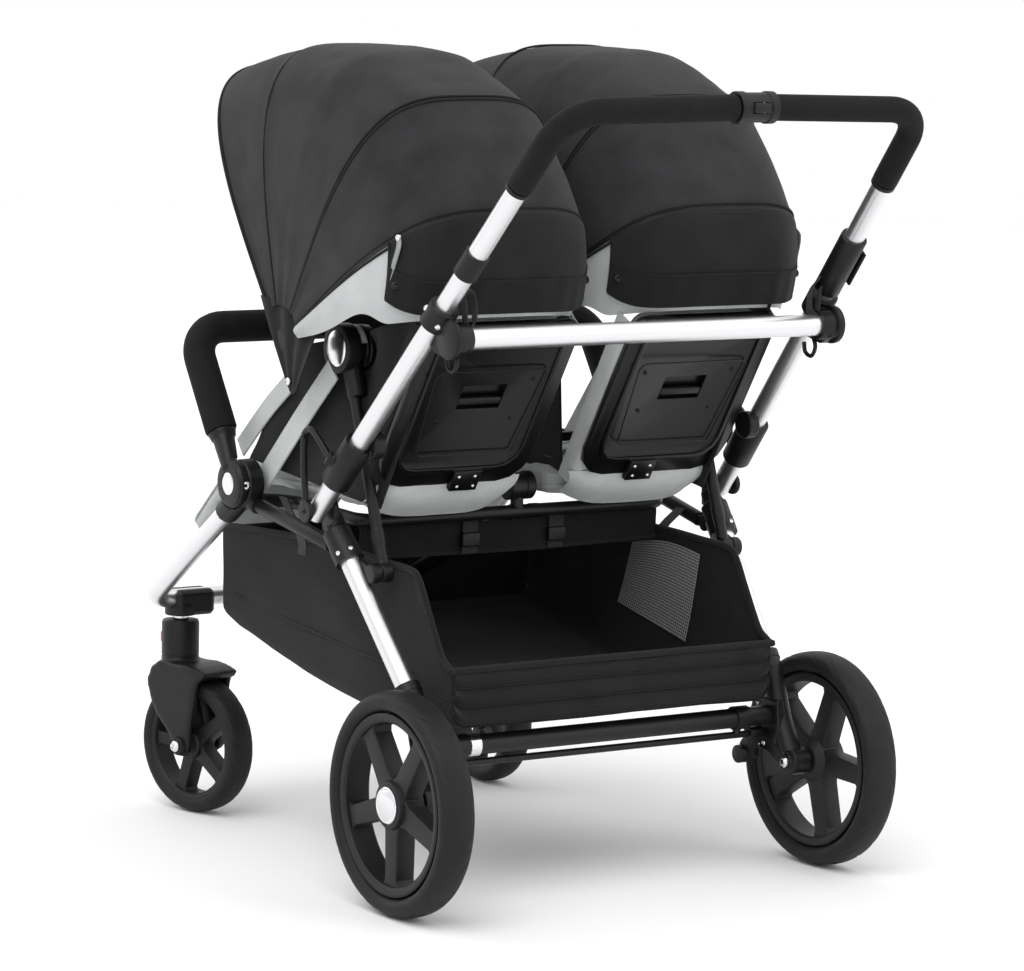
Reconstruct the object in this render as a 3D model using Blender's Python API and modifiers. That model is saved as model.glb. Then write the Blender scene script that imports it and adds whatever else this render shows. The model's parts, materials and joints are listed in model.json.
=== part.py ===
"""Side-by-side double stroller: folding frame, two reclining seats, two hoods and a basket.

Metres, +Z up, front towards -Y. Every piece is drawn from the rear axle, on the ground under it,
and hangs on one empty that puts the middle of the stroller at the world origin.
"""
import math

import bmesh
import bpy
from mathutils import Matrix, Vector

# Driving dimensions
AXLE_BEHIND_MIDDLE = 0.2682
REAR_WHEEL_RADIUS = 0.152
REAR_WHEEL_X = 0.3505
REAR_TYRE_HALF_WIDTH = 0.0255
FRONT_WHEEL_RADIUS = 0.102
FRONT_TYRE_HALF_WIDTH = 0.0225
CASTER_X = 0.2605
CASTER_Y = -0.7665
CASTER_TRAIL = 0.040
CASTER_TURN = {"left": math.radians(14.0), "right": 0.0}
SPOKES_TURNED = {"rear_left": 0.0, "rear_right": 15.0, "front_left": 18.0, "front_right": 18.0}
TUBE_RADIUS = 0.014
THIN_TUBE_RADIUS = 0.0105
FIT_GAP = 0.0003
SEAT_X = 0.1675
SEAT_HALF_WIDTH = 0.1225

# Joint axes, from the rear axle
HANDLE_PIVOT = Vector((0.342, -0.240, 0.516))
HANDLE_SLOPE = Vector((-0.0723, 0.6632, 0.7484))
LEG_PIVOT = Vector((0.312, -0.232, 0.462))
FRONT_HUB = Vector((0.340, -0.456, 0.528))
POST_FOOT = Vector((0.2865, -0.155, 0.438))
SEAT_HUB = Vector((0.2865, -0.262, 0.735))
BACK_PIVOT = Vector((0.0, -0.185, 0.545))
HOOD_PIVOT = Vector((0.0, -0.335, 0.740))
LEG_REST_PIVOT = Vector((0.0, -0.592, 0.532))
REAR_AXLE_TUBE = Vector((0.0, -0.040, 0.213))
BRAKE_ROD = Vector((0.0, -0.046, 0.1875))
CROSSBAR = Vector((0.0, 0.043, 0.775))
CROSSBAR_RADIUS = 0.015
CROSSBAR_HALF_LENGTH = 0.294
GRIP_START = 0.6227
GRIP_RADIUS = 0.0175

SIDES = {"left": 1.0, "right": -1.0}
X_AXIS = Vector((1.0, 0.0, 0.0))
Z_AXIS = Vector((0.0, 0.0, 1.0))

for old in list(bpy.data.objects):
    bpy.data.objects.remove(old, do_unlink=True)

scene = bpy.context.scene
parts = bpy.data.collections.new("double_stroller")
scene.collection.children.link(parts)
cutters = bpy.data.collections.new("cutters")
scene.collection.children.link(cutters)

base = bpy.data.objects.new("stroller_base", None)
base.location = (0.0, AXLE_BEHIND_MIDDLE, 0.0)
parts.objects.link(base)


# Materials

def finish(name, colour, roughness, metallic=0.0):
    """A plain surface in the photographed colour."""
    material = bpy.data.materials.new(name)
    material.use_nodes = True
    shader = material.node_tree.nodes["Principled BSDF"]
    shader.inputs["Base Color"].default_value = (*colour, 1.0)
    shader.inputs["Roughness"].default_value = roughness
    shader.inputs["Metallic"].default_value = metallic
    material.diffuse_color = (*colour, 1.0)
    return material


FINISHES = {
    "aluminium": ((0.72, 0.72, 0.73), 0.35, 1.0),
    "dark_tube": ((0.05, 0.05, 0.052), 0.45, 0.0),
    "plastic": ((0.018, 0.018, 0.019), 0.5, 0.0),
    "shell": ((0.011, 0.011, 0.011), 0.42, 0.0),
    "foam": ((0.022, 0.022, 0.022), 0.9, 0.0),
    "tyre": ((0.03, 0.03, 0.03), 0.8, 0.0),
    "rim": ((0.02, 0.02, 0.021), 0.5, 0.0),
    "hood_cloth": ((0.04, 0.04, 0.042), 0.95, 0.0),
    "basket_cloth": ((0.012, 0.012, 0.013), 0.95, 0.0),
    "seat_cloth": ((0.50, 0.52, 0.52), 0.95, 0.0),
    "signal_red": ((0.76, 0.07, 0.03), 0.4, 0.0),
}


# Helpers

def place(obj, name, look, pivot=(0.0, 0.0, 0.0)):
    """Names a piece, gives it its own material and puts its origin on its pivot."""
    pivot = Vector(pivot)
    obj.name = name
    obj.data.name = name
    for collection in list(obj.users_collection):
        collection.objects.unlink(obj)
    parts.objects.link(obj)
    obj.data.transform(obj.matrix_basis)
    obj.data.transform(Matrix.Translation(-pivot))
    obj.matrix_basis = Matrix.Translation(pivot)
    obj.data.materials.clear()
    obj.data.materials.append(finish(name, *FINISHES[look]))
    obj.parent = base
    return obj


def move(obj, matrix):
    """Moves an unparented object by a world matrix."""
    obj.matrix_world = matrix @ obj.matrix_world
    return obj


def add_mesh(bm, name="shape"):
    mesh = bpy.data.meshes.new(name)
    bm.to_mesh(mesh)
    bm.free()
    obj = bpy.data.objects.new(name, mesh)
    scene.collection.objects.link(obj)
    return obj


def solid(obj):
    """Turns a curve, or a mesh with modifiers, into a plain welded mesh object."""
    bpy.context.view_layer.update()
    graph = bpy.context.evaluated_depsgraph_get()
    mesh = bpy.data.meshes.new_from_object(obj.evaluated_get(graph))
    bm = bmesh.new()
    bm.from_mesh(mesh)
    bmesh.ops.remove_doubles(bm, verts=bm.verts, dist=0.00002)
    bm.to_mesh(mesh)
    bm.free()
    new = bpy.data.objects.new(obj.name, mesh)
    scene.collection.objects.link(new)
    new.matrix_world = obj.matrix_world.copy()
    bpy.data.objects.remove(obj, do_unlink=True)
    return new


def smooth(obj, angle=35.0):
    obj.data.shade_smooth()
    obj.data.set_sharp_from_angle(angle=math.radians(angle))
    return obj


def bevel(obj, width, segments=2):
    edge = obj.modifiers.new("rounded edges", "BEVEL")
    edge.width = width
    edge.segments = segments
    edge.limit_method = "ANGLE"
    edge.angle_limit = math.radians(40.0)
    return obj


def combine(first, second, operation):
    step = first.modifiers.new(operation.lower(), "BOOLEAN")
    step.operation = operation
    step.object = second
    result = solid(first)
    bpy.data.objects.remove(second, do_unlink=True)
    return result


def fuse(first, *others):
    for other in others:
        first = combine(first, other, "UNION")
    return first


def cut(first, *others):
    for other in others:
        first = combine(first, other, "DIFFERENCE")
    return first


def rod(start, end, radius, sides=16, end_radius=None):
    """A round bar or cone between two points."""
    start = Vector(start)
    end = Vector(end)
    along = end - start
    bm = bmesh.new()
    bmesh.ops.create_cone(
        bm, cap_ends=True, segments=sides, radius1=radius,
        radius2=radius if end_radius is None else end_radius, depth=along.length)
    turn = Z_AXIS.rotation_difference(along).to_matrix().to_4x4()
    bmesh.ops.transform(bm, matrix=Matrix.Translation((start + end) / 2) @ turn, verts=bm.verts)
    return smooth(add_mesh(bm, "rod"))


def across(side, low_x, high_x, middle, radius, sides=14, end_radius=None):
    """A round bar along X through a point of the side view; its ends are given for the +X side."""
    start = (side * low_x, middle.y, middle.z)
    end = (side * high_x, middle.y, middle.z)
    return rod(start, end, radius, sides, end_radius)


def limb(side, start, end, radius, sides=16, end_radius=None):
    """A round bar between two points that are given for the +X side."""
    return rod(mirrored(side, start), mirrored(side, end), radius, sides, end_radius)


def block(centre, size, turn_x=0.0, taper=1.0):
    """A box turned about X, whose top is narrowed by the taper."""
    bm = bmesh.new()
    bmesh.ops.create_cube(bm, size=1.0)
    for vert in bm.verts:
        if vert.co.z > 0:
            vert.co.x *= taper
            vert.co.y *= taper
    bmesh.ops.scale(bm, vec=size, verts=bm.verts)
    place_at = Matrix.Translation(centre) @ Matrix.Rotation(turn_x, 4, "X")
    bmesh.ops.transform(bm, matrix=place_at, verts=bm.verts)
    return add_mesh(bm, "block")


def along_curve(points, radius, resolution=2, radii=None):
    """A round tube through points, with closed ends."""
    curve = bpy.data.curves.new("tube", "CURVE")
    curve.dimensions = "3D"
    curve.bevel_depth = radius
    curve.bevel_resolution = resolution
    curve.use_fill_caps = True
    spline = curve.splines.new("POLY")
    spline.points.add(len(points) - 1)
    for index, point in enumerate(points):
        spline.points[index].co = (*point, 1.0)
        if radii:
            spline.points[index].radius = radii[index] / radius
    obj = bpy.data.objects.new("tube", curve)
    scene.collection.objects.link(obj)
    return obj


def plate(outline, low_x, high_x):
    """A flat outline in the YZ plane, extruded along X."""
    curve = bpy.data.curves.new("plate", "CURVE")
    curve.dimensions = "2D"
    curve.fill_mode = "BOTH"
    curve.extrude = abs(high_x - low_x) / 2
    spline = curve.splines.new("POLY")
    spline.points.add(len(outline) - 1)
    spline.use_cyclic_u = True
    for index, (y, z) in enumerate(outline):
        spline.points[index].co = (y, z, 0.0, 1.0)
    obj = bpy.data.objects.new("plate", curve)
    scene.collection.objects.link(obj)
    stand = Matrix(((0, 0, 1, 0), (1, 0, 0, 0), (0, 1, 0, 0), (0, 0, 0, 1)))
    obj.matrix_world = Matrix.Translation(((low_x + high_x) / 2, 0.0, 0.0)) @ stand
    return solid(obj)


def turned(profile, centre, steps=32, axis=X_AXIS, closed=True, phase=0.0):
    """A ring or disc: a profile of (distance along the axis, radius) turned about it."""
    bm = bmesh.new()
    verts = [bm.verts.new((radius, 0.0, height)) for height, radius in profile]
    last = len(verts) if closed else len(verts) - 1
    for index in range(last):
        bm.edges.new((verts[index], verts[(index + 1) % len(verts)]))
    obj = add_mesh(bm, "turned")
    screw = obj.modifiers.new("turn", "SCREW")
    screw.steps = steps
    screw.render_steps = steps
    screw.use_merge_vertices = True
    screw.merge_threshold = 0.00005
    screw.use_normal_calculate = True
    lean = Z_AXIS.rotation_difference(axis).to_matrix().to_4x4()
    obj.matrix_world = Matrix.Translation(centre) @ lean @ Matrix.Rotation(phase, 4, "Z")
    obj = solid(obj)
    bm = bmesh.new()
    bm.from_mesh(obj.data)
    bmesh.ops.recalc_face_normals(bm, faces=bm.faces)
    bm.to_mesh(obj.data)
    bm.free()
    return smooth(obj)


def rounded_path(corners, radius, steps=5):
    """Straight runs with each inner corner replaced by an arc."""
    points = [Vector(corners[0])]
    for before, corner, after in zip(corners, corners[1:], corners[2:]):
        corner = Vector(corner)
        arrive = (Vector(before) - corner).normalized()
        leave = (Vector(after) - corner).normalized()
        half = arrive.angle(leave) / 2
        reach = radius / math.tan(half)
        middle = corner + (arrive + leave).normalized() * (radius / math.sin(half))
        start = corner + arrive * reach
        sweep = math.pi - 2 * half
        normal = leave.cross(arrive).normalized()
        for step in range(steps + 1):
            turn = Matrix.Rotation(sweep * step / steps, 3, normal)
            points.append(middle + turn @ (start - middle))
    points.append(Vector(corners[-1]))
    return points


def arc(centre, radius, start, end, steps):
    """Points of an arc in the YZ plane, angles in degrees from +Y towards +Z."""
    angles = [math.radians(start + (end - start) * step / steps) for step in range(steps + 1)]
    return [(centre[0] + radius * math.cos(a), centre[1] + radius * math.sin(a)) for a in angles]


def mirrored(side, point):
    return Vector((side * point[0], point[1], point[2]))


def on_handle(side, distance):
    return mirrored(side, HANDLE_PIVOT + HANDLE_SLOPE * distance)


def sleeve(start, end, outer, inner, sides=16):
    """A collar round a tube."""
    along = (Vector(end) - Vector(start)).normalized() * 0.01
    body = rod(start, end, outer, sides)
    bore = rod(Vector(start) - along, Vector(end) + along, inner, sides)
    return cut(body, bore)


# Wheels

def tyre(name, centre, turn, radius, half_width, steps):
    """A tyre with one of its facets flat on the ground."""
    crown = radius / math.cos(math.pi / steps)
    section = radius - 0.030 * radius / REAR_WHEEL_RADIUS
    wall = (radius + section) / 2
    half = [(half_width * 0.55, crown), (half_width, wall + 0.002), (half_width * 0.80, section)]
    profile = [(-x, reach) for x, reach in reversed(half)] + half
    ring = turned(profile, (0.0, 0.0, 0.0), steps=steps, phase=math.pi / steps)
    move(ring, Matrix.Translation(centre) @ Matrix.Rotation(turn, 4, "Z"))
    return place(ring, name, "tyre", centre)


def wheel(name, centre, turn, phase, radius, half_width, steps):
    """Moulded rim with five broad spokes, a hub and its cap."""
    scale = radius / REAR_WHEEL_RADIUS
    seat = radius - 0.030 * scale - FIT_GAP
    inner = seat - 0.013 * scale
    width = half_width * 0.74
    section = [(-width, inner), (-width, seat), (width, seat), (width, inner)]
    rim = turned(section, (0.0, 0.0, 0.0), steps=steps, phase=math.pi / steps)
    hub = rod((-half_width * 0.9, 0, 0), (half_width * 0.9, 0, 0), 0.033 * scale, 16)
    cap = rod((half_width * 0.9 - 0.001, 0, 0), (half_width, 0, 0), 0.025 * scale, 16, 0.023 * scale)
    pieces = [hub, cap]
    reach = inner + 0.004
    for index in range(5):
        angle = math.tau * index / 5 + math.pi - math.radians(phase)
        spoke = block((0.0, 0.0, 0.0), (half_width * 1.2, 0.034 * scale, reach), taper=0.82)
        move(spoke, Matrix.Rotation(angle, 4, "X") @ Matrix.Translation((0.0, 0.0, reach / 2)))
        pieces.append(spoke)
    body = fuse(rim, *pieces)
    move(body, Matrix.Translation(centre) @ Matrix.Rotation(turn, 4, "Z"))
    return place(smooth(body), name, "rim", centre)


def rear_wheels():
    for side_name, side in SIDES.items():
        centre = Vector((side * REAR_WHEEL_X, 0.0, REAR_WHEEL_RADIUS))
        turn = 0.0 if side > 0 else math.pi
        phase = SPOKES_TURNED["rear_" + side_name] * side
        size = (REAR_WHEEL_RADIUS, REAR_TYRE_HALF_WIDTH, 30)
        wheel("rear_wheel_" + side_name, centre, turn, phase, *size)
        tyre("rear_tyre_" + side_name, centre, turn, *size)


# Front casters

def caster(side_name, side):
    stem = Vector((side * CASTER_X, CASTER_Y, 0.0))
    turn = CASTER_TURN[side_name]
    to_world = Matrix.Translation(stem) @ Matrix.Rotation(turn, 4, "Z")
    axle = (CASTER_TRAIL, FRONT_WHEEL_RADIUS)
    leg_gap = FRONT_TYRE_HALF_WIDTH + 0.0035
    leg_outer = leg_gap + 0.0115
    clear = FRONT_WHEEL_RADIUS + 0.006

    housing = rod((0, 0, 0.196), (0, 0, 0.283), 0.0275, 16)
    pin = rod((0, 0, 0.280), (0, 0, 0.2898), 0.009, 16)
    crown = arc(axle, clear, 68, 132, 6) + arc(axle, clear + 0.014, 128, 66, 6)
    arch = plate(crown, 0.0006 - leg_outer, leg_outer - 0.0006)
    shape = [(-0.033, 0.190), (-0.028, 0.212), (-0.010, 0.224), (0.052, 0.222), (0.076, 0.206)]
    shape += [(0.071, 0.188), (0.060, 0.130)] + arc(axle, 0.0175, 10, -120, 6)
    shape += [(0.012, 0.118), (-0.014, 0.142), (-0.030, 0.170)]
    legs = [plate(shape, leg_gap, leg_outer), plate(shape, -leg_outer, -leg_gap)]
    wheel_room = rod((-0.05, *axle), (0.05, *axle), clear + 0.003, 24)
    body = fuse(arch, cut(housing, wheel_room), *legs)
    bosses = [
        rod((leg_outer - 0.001, *axle), (leg_outer + 0.007, *axle), 0.009, 6),
        rod((-leg_outer + 0.001, *axle), (-leg_outer - 0.007, *axle), 0.009, 6)]
    slot = block((side * 0.012, -0.0270, 0.2600), (0.0112, 0.0180, 0.0260))
    body = cut(fuse(body, pin, *bosses), slot)
    move(body, to_world)
    place(smooth(body), "fork_" + side_name, "plastic", stem)

    button = bevel(block((side * 0.012, -0.0225, 0.2560), (0.0106, 0.0080, 0.0160)), 0.0015, 1)
    button = move(solid(button), to_world)
    centre = to_world @ Vector((side * 0.012, -0.0225, 0.2560))
    place(button, "swivel_lock_" + side_name, "signal_red", centre)

    centre = to_world @ Vector((0.0, *axle))
    phase = SPOKES_TURNED["front_" + side_name]
    size = (FRONT_WHEEL_RADIUS, FRONT_TYRE_HALF_WIDTH, 24)
    wheel("front_wheel_" + side_name, centre, turn, phase, *size)
    tyre("front_tyre_" + side_name, centre, turn, *size)


# Fixed front frame

FRONT_TUBE_BEND = 0.045
FRONT_TUBE_TOP = Vector((0.3378, -0.4810, 0.4932))
FRONT_TUBE_CORNER = Vector((0.314, CASTER_Y, 0.315))


def front_tube_path():
    half = [FRONT_TUBE_TOP, FRONT_TUBE_CORNER]
    return rounded_path(half + [mirrored(-1, point) for point in reversed(half)], FRONT_TUBE_BEND, 5)


def front_frame():
    place(along_curve(front_tube_path(), TUBE_RADIUS, 3), "front_tube", "aluminium")
    for side_name, side in SIDES.items():
        profile = [(-0.0220, 0.0), (-0.0220, 0.030), (-0.0190, 0.034), (0.0020, 0.034), (0.0055, 0.030)]
        profile.append((0.0055, 0.0))
        hub = turned(profile, mirrored(side, FRONT_HUB), steps=20, axis=X_AXIS * side, closed=False)
        tube_dir = (mirrored(side, FRONT_TUBE_CORNER) - mirrored(side, FRONT_TUBE_TOP)).normalized()
        top = mirrored(side, FRONT_TUBE_TOP)
        socket = rod(top - tube_dir * 0.028, top + tube_dir * 0.022, 0.0185, 14)
        bore = rod(top - tube_dir * FIT_GAP, top + tube_dir * 0.04, TUBE_RADIUS + 2 * FIT_GAP, 20)
        link_start = Vector((side * 0.324, -0.4300, 0.4985))
        link_end = Vector((side * LEG_PIVOT.x, -0.2505, 0.4650))
        link_run = (link_end - link_start).normalized()
        lug = rod(link_start - link_run * 0.026, link_start - link_run * FIT_GAP, 0.0135, 16)
        disc_room = across(side, FRONT_HUB.x + 0.0056, FRONT_HUB.x + 0.04, FRONT_HUB, 0.0365, 20)
        hub = cut(fuse(hub, socket, lug), bore, disc_room)
        place(smooth(hub), "front_hub_" + side_name, "plastic", mirrored(side, FRONT_HUB))
        link = rod(link_start, link_end, THIN_TUBE_RADIUS, 14)
        eye = across(side, 0.3055, 0.3115, LEG_PIVOT, 0.0120)
        tab = block((side * 0.3085, -0.2430, 0.4640), (0.0058, 0.024, 0.015))
        place(fuse(link, tab, eye), "side_link_" + side_name, "dark_tube")

        corner = block((side * 0.2445, CASTER_Y, 0.3095), (0.064, 0.044, 0.039))
        corner = solid(bevel(corner, 0.006, 1))
        boss = limb(side, (CASTER_X, CASTER_Y, 0.2902), (CASTER_X, CASTER_Y, 0.3050), 0.0240)
        hole = along_curve(front_tube_path(), TUBE_RADIUS + FIT_GAP, 3)
        place(smooth(cut(fuse(corner, boss), solid(hole))), "caster_bracket_" + side_name, "plastic")

    seat_path = rounded_path([
        (0.3095, -0.449, 0.5040), (0.2560, -0.449, 0.4980), (0.2560, -0.262, 0.4930),
        (-0.2560, -0.262, 0.4930), (-0.2560, -0.449, 0.4980), (-0.3095, -0.449, 0.5040)], 0.030, 3)
    strut_path = rounded_path(
        [(0, -0.2620, 0.4970), (0, -0.590, 0.3420), (0, CASTER_Y + TUBE_RADIUS + 0.001, 0.3190)], 0.12, 4)
    strut = solid(along_curve(strut_path, 0.0110, 2))
    drum = rod((-0.021, -0.262, 0.530), (0.021, -0.262, 0.530), 0.0200, 16)
    neck = block((0.0, -0.2640, 0.5080), (0.018, 0.020, 0.034))
    frame_tube = solid(along_curve(seat_path, 0.0095, 2))
    place(smooth(fuse(frame_tube, neck, drum, strut)), "seat_frame", "dark_tube")


# Folding rear legs

LEG_TOP = Vector((0.3195, -0.2250, 0.4852))
LEG_LOW = Vector((0.3000, -0.0600, 0.2820))


def rear_frame():
    run = (LEG_LOW - LEG_TOP).normalized()
    for side_name, side in SIDES.items():
        high = LEG_TOP + run * 0.030
        low = LEG_LOW - run * 0.012
        tube = limb(side, high, low, TUBE_RADIUS)
        place(tube, "rear_leg_" + side_name, "aluminium", mirrored(side, LEG_PIVOT))

        clamp = limb(side, LEG_TOP - run * 0.004, LEG_TOP + run * 0.046, 0.0200)
        seat = limb(side, high - run * FIT_GAP, high + run * 0.05, TUBE_RADIUS + FIT_GAP)
        neck = limb(side, LEG_TOP + run * 0.004, (0.3200, -0.2390, 0.5080), 0.0165, 14, 0.0140)
        cheek = arc((HANDLE_PIVOT.y, HANDLE_PIVOT.z), 0.0170, 0, 180, 8)
        cheek += [(-0.2560, 0.4850), (-0.2230, 0.4850)]
        cheek = plate(cheek, side * 0.3170, side * 0.3255)
        lug = across(side, 0.3120, 0.3215, LEG_PIVOT, 0.0125)
        link_room = across(side, 0.2900, 0.3118, LEG_PIVOT, 0.0135)
        tube_room = across(side, 0.3260, 0.3700, HANDLE_PIVOT, 0.0240)
        top = cut(fuse(clamp, neck, cheek, lug), seat, link_room, tube_room)
        post_ear = across(side, 0.2955, 0.3100, POST_FOOT, 0.0140)
        ear_arm = block((side * 0.3063, -0.1760, 0.4445), (0.0072, 0.050, 0.016), turn_x=math.radians(-20))
        leg_room = limb(side, LEG_TOP, LEG_LOW, TUBE_RADIUS + FIT_GAP)
        top = fuse(top, cut(fuse(ear_arm, post_ear), leg_room))
        place(smooth(top), "leg_joint_" + side_name, "plastic", mirrored(side, LEG_PIVOT))

        foot_points = [
            LEG_LOW - run * 0.016, LEG_LOW + run * 0.008, Vector((0.3000, -0.0400, 0.2440)),
            Vector((0.3005, -0.0240, 0.2020)), Vector((0.3020, -0.0050, 0.1640))]
        widths = [0.0185, 0.0180, 0.0150, 0.0150, 0.0160]
        foot = solid(along_curve([mirrored(side, p) for p in foot_points], 0.016, 3, widths))
        leg_seat = limb(side, LEG_LOW - run * 0.05, low + run * FIT_GAP, TUBE_RADIUS + FIT_GAP)
        wheel_centre = Vector((0.0, 0.0, REAR_WHEEL_RADIUS))
        hub = across(side, 0.2940, 0.3228, wheel_centre, 0.0200)
        nut = across(side, 0.2880, 0.2945, wheel_centre, 0.0095, 6)
        ear = [(-0.066, 0.228), (-0.070, 0.176), (-0.058, 0.164), (-0.034, 0.160), (-0.002, 0.142)]
        ear += [(0.006, 0.160), (-0.020, 0.176), (-0.012, 0.200), (-0.016, 0.236), (-0.052, 0.238)]
        ear = plate(ear, side * 0.2840, side * 0.2960)
        foot = cut(fuse(foot, hub, nut, ear), leg_seat)
        place(smooth(foot), "rear_foot_" + side_name, "plastic", mirrored(side, LEG_PIVOT))

    half = 0.2837
    ring_x = 0.236
    axle = across(1, -half, half, REAR_AXLE_TUBE, 0.0140)
    rings = [across(1, x - 0.012, x + 0.012, REAR_AXLE_TUBE, 0.0170) for x in (-ring_x, ring_x)]
    under = across(1, -half, half, BRAKE_ROD, 0.0050, 10)
    between = (REAR_AXLE_TUBE + BRAKE_ROD) / 2
    hangers = [block((x, between.y, between.z), (0.010, 0.010, 0.020)) for x in (-ring_x, ring_x)]
    place(smooth(fuse(axle, *rings, under, *hangers)), "rear_axle", "dark_tube", LEG_PIVOT)

    pedal_x = -0.2680
    ring = across(1, pedal_x - 0.012, pedal_x + 0.012, BRAKE_ROD, 0.0095)
    arm = [(-0.056, 0.1870), (-0.036, 0.1870), (-0.050, 0.1540), (-0.078, 0.1540), (-0.070, 0.1720)]
    arm = plate(arm, pedal_x - 0.0060, pedal_x + 0.0060)
    roller = across(1, pedal_x - 0.0145, pedal_x + 0.0145, Vector((0.0, -0.0650, 0.1550)), 0.0130, 16)
    bore = across(1, pedal_x - 0.02, pedal_x + 0.02, BRAKE_ROD, 0.0053)
    pedal = cut(fuse(ring, arm, roller), bore)
    place(smooth(pedal), "brake_pedal", "plastic", (pedal_x, BRAKE_ROD.y, BRAKE_ROD.z))


# Handle frame that folds forward

def handle_frame():
    for side_name, side in SIDES.items():
        pivot = mirrored(side, HANDLE_PIVOT)
        tube = rod(on_handle(side, -0.0100), on_handle(side, GRIP_START - FIT_GAP), TUBE_RADIUS, 16)
        place(tube, "handle_tube_" + side_name, "aluminium", pivot)

        joint = rod(on_handle(side, 0.058), on_handle(side, 0.136), 0.0205, 16)
        bore = rod(on_handle(side, 0.03), on_handle(side, 0.20), TUBE_RADIUS + FIT_GAP, 16)
        hook = [
            (0.3560, -0.1880, 0.5950), (0.3590, -0.2080, 0.6150), (0.3600, -0.2300, 0.6290),
            (0.3605, -0.2460, 0.6230), (0.3605, -0.2490, 0.6030), (0.3605, -0.2470, 0.5650),
            (0.3605, -0.2400, 0.5180)]
        loop = solid(along_curve([mirrored(side, p) for p in hook], 0.0042, 2))
        boss = across(side, 0.3574, 0.3646, HANDLE_PIVOT, 0.0160)
        root = limb(side, (0.3400, -0.1800, 0.5840), (0.3590, -0.1900, 0.5960), 0.0100, 12)
        cover = across(side, 0.3050, 0.3220, Vector((0.0, -0.1440, 0.6150)), 0.0200)
        joint = cut(fuse(joint, root, loop, boss, cover), bore)
        place(smooth(joint), "fold_joint_" + side_name, "plastic", pivot)

        ring = rod(on_handle(side, 0.368), on_handle(side, 0.402), 0.0208, 16)
        through = rod(on_handle(side, 0.34), on_handle(side, 0.43), TUBE_RADIUS + FIT_GAP, 16)
        arm = plate(
            [(0.0050, 0.7930), (0.0300, 0.7990), (0.0600, 0.7850), (0.0620, 0.7600), (0.0350, 0.7480),
             (0.0020, 0.7560), (-0.0090, 0.7700)], side * 0.3000, side * 0.3160)
        collar = across(side, 0.2880, 0.3130, CROSSBAR, 0.0200)
        cap = across(side, 0.3120, 0.3195, CROSSBAR, 0.0262, 14, 0.0235)
        seat = across(side, 0.2800, CROSSBAR_HALF_LENGTH + FIT_GAP, CROSSBAR, CROSSBAR_RADIUS + FIT_GAP, 16)
        mount = cut(fuse(ring, arm, collar, cap), through, seat)
        place(smooth(mount), "crossbar_mount_" + side_name, "plastic", pivot)

    bar = across(1, -CROSSBAR_HALF_LENGTH, CROSSBAR_HALF_LENGTH, CROSSBAR, CROSSBAR_RADIUS, 16)
    place(bar, "crossbar", "aluminium", HANDLE_PIVOT)

    housing = sleeve(on_handle(-1, 0.412), on_handle(-1, 0.514), 0.0190, TUBE_RADIUS + FIT_GAP, 16)
    place(smooth(housing), "latch_housing", "plastic", mirrored(-1, HANDLE_PIVOT))
    lever = solid(bevel(block((0.0, 0.0, -0.0280), (0.0060, 0.0280, 0.0620)), 0.0020, 1))
    lean = Z_AXIS.rotation_difference(mirrored(-1, HANDLE_SLOPE)).to_matrix().to_4x4()
    hinge = Matrix.Translation(on_handle(-1, 0.486)) @ lean @ Matrix.Translation((-0.0234, 0.0, 0.0))
    place(move(lever, hinge), "latch_lever", "plastic", hinge.translation)

    grip_corner = HANDLE_PIVOT + HANDLE_SLOPE * (GRIP_START + 0.134)
    crest = Vector((0.0, 0.2690, 1.0870))
    half = [on_handle(1, GRIP_START), grip_corner]
    path = rounded_path(half + [crest] + [mirrored(-1, point) for point in reversed(half)], 0.062, 5)
    grip = solid(along_curve(path, GRIP_RADIUS, 2))
    clasp_room = across(1, -0.0305, 0.0305, crest, 0.0240, 16)
    core = across(1, -0.0310, 0.0310, crest, 0.0085, 12)
    grip = fuse(cut(grip, clasp_room), core)
    place(smooth(grip), "handle_grip", "foam", HANDLE_PIVOT)

    clasp = across(1, -0.0300, 0.0300, crest, 0.0195)
    bands = [across(1, x - 0.006, x + 0.006, crest, 0.0212) for x in (-0.0235, 0.0235)]
    core_room = across(1, -0.0400, 0.0400, crest, 0.0090, 12)
    button_room = block((0.0, crest.y + 0.0180, crest.z), (0.0270, 0.0190, 0.0150))
    clasp = cut(fuse(clasp, *bands), core_room, button_room)
    place(smooth(clasp), "handle_clasp", "plastic", HANDLE_PIVOT)
    button = solid(bevel(block((0.0, crest.y + 0.0185, crest.z), (0.0250, 0.0090, 0.0130)), 0.0015, 1))
    place(button, "handle_button", "rim", (0.0, crest.y + 0.0185, crest.z))


# Seat posts

def seat_posts():
    for side_name, side in SIDES.items():
        foot = mirrored(side, POST_FOOT)
        hub = mirrored(side, SEAT_HUB)
        up = (hub - foot).normalized()
        inner_disc = [(-0.0325, 0.0), (-0.0325, 0.0305), (-0.0205, 0.0320), (-0.0195, 0.0240)]
        outer_disc = [(-0.0040, 0.0240), (-0.0030, 0.0330), (0.0130, 0.0330), (0.0160, 0.0300), (0.0160, 0.0)]
        drum = turned(inner_disc + outer_disc, hub, steps=16, axis=X_AXIS * side, closed=False)
        stem = rod(foot, hub - up * 0.020, 0.0083, 12)
        stem_collar = rod(hub - up * 0.070, hub - up * 0.024, 0.0140, 12, 0.0160)
        move(stem_collar, Matrix.Translation((-side * 0.0045, 0, 0)))
        low_collar = rod(foot + up * 0.040, foot + up * 0.060, 0.0092, 12)
        eye = across(side, POST_FOOT.x - 0.0085, POST_FOOT.x + 0.0085, POST_FOOT, 0.0140, 12)
        post = fuse(drum, stem_collar, stem, low_collar, eye)
        place(smooth(post), "seat_post_" + side_name, "plastic", foot)


# Bumper bar

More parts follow.
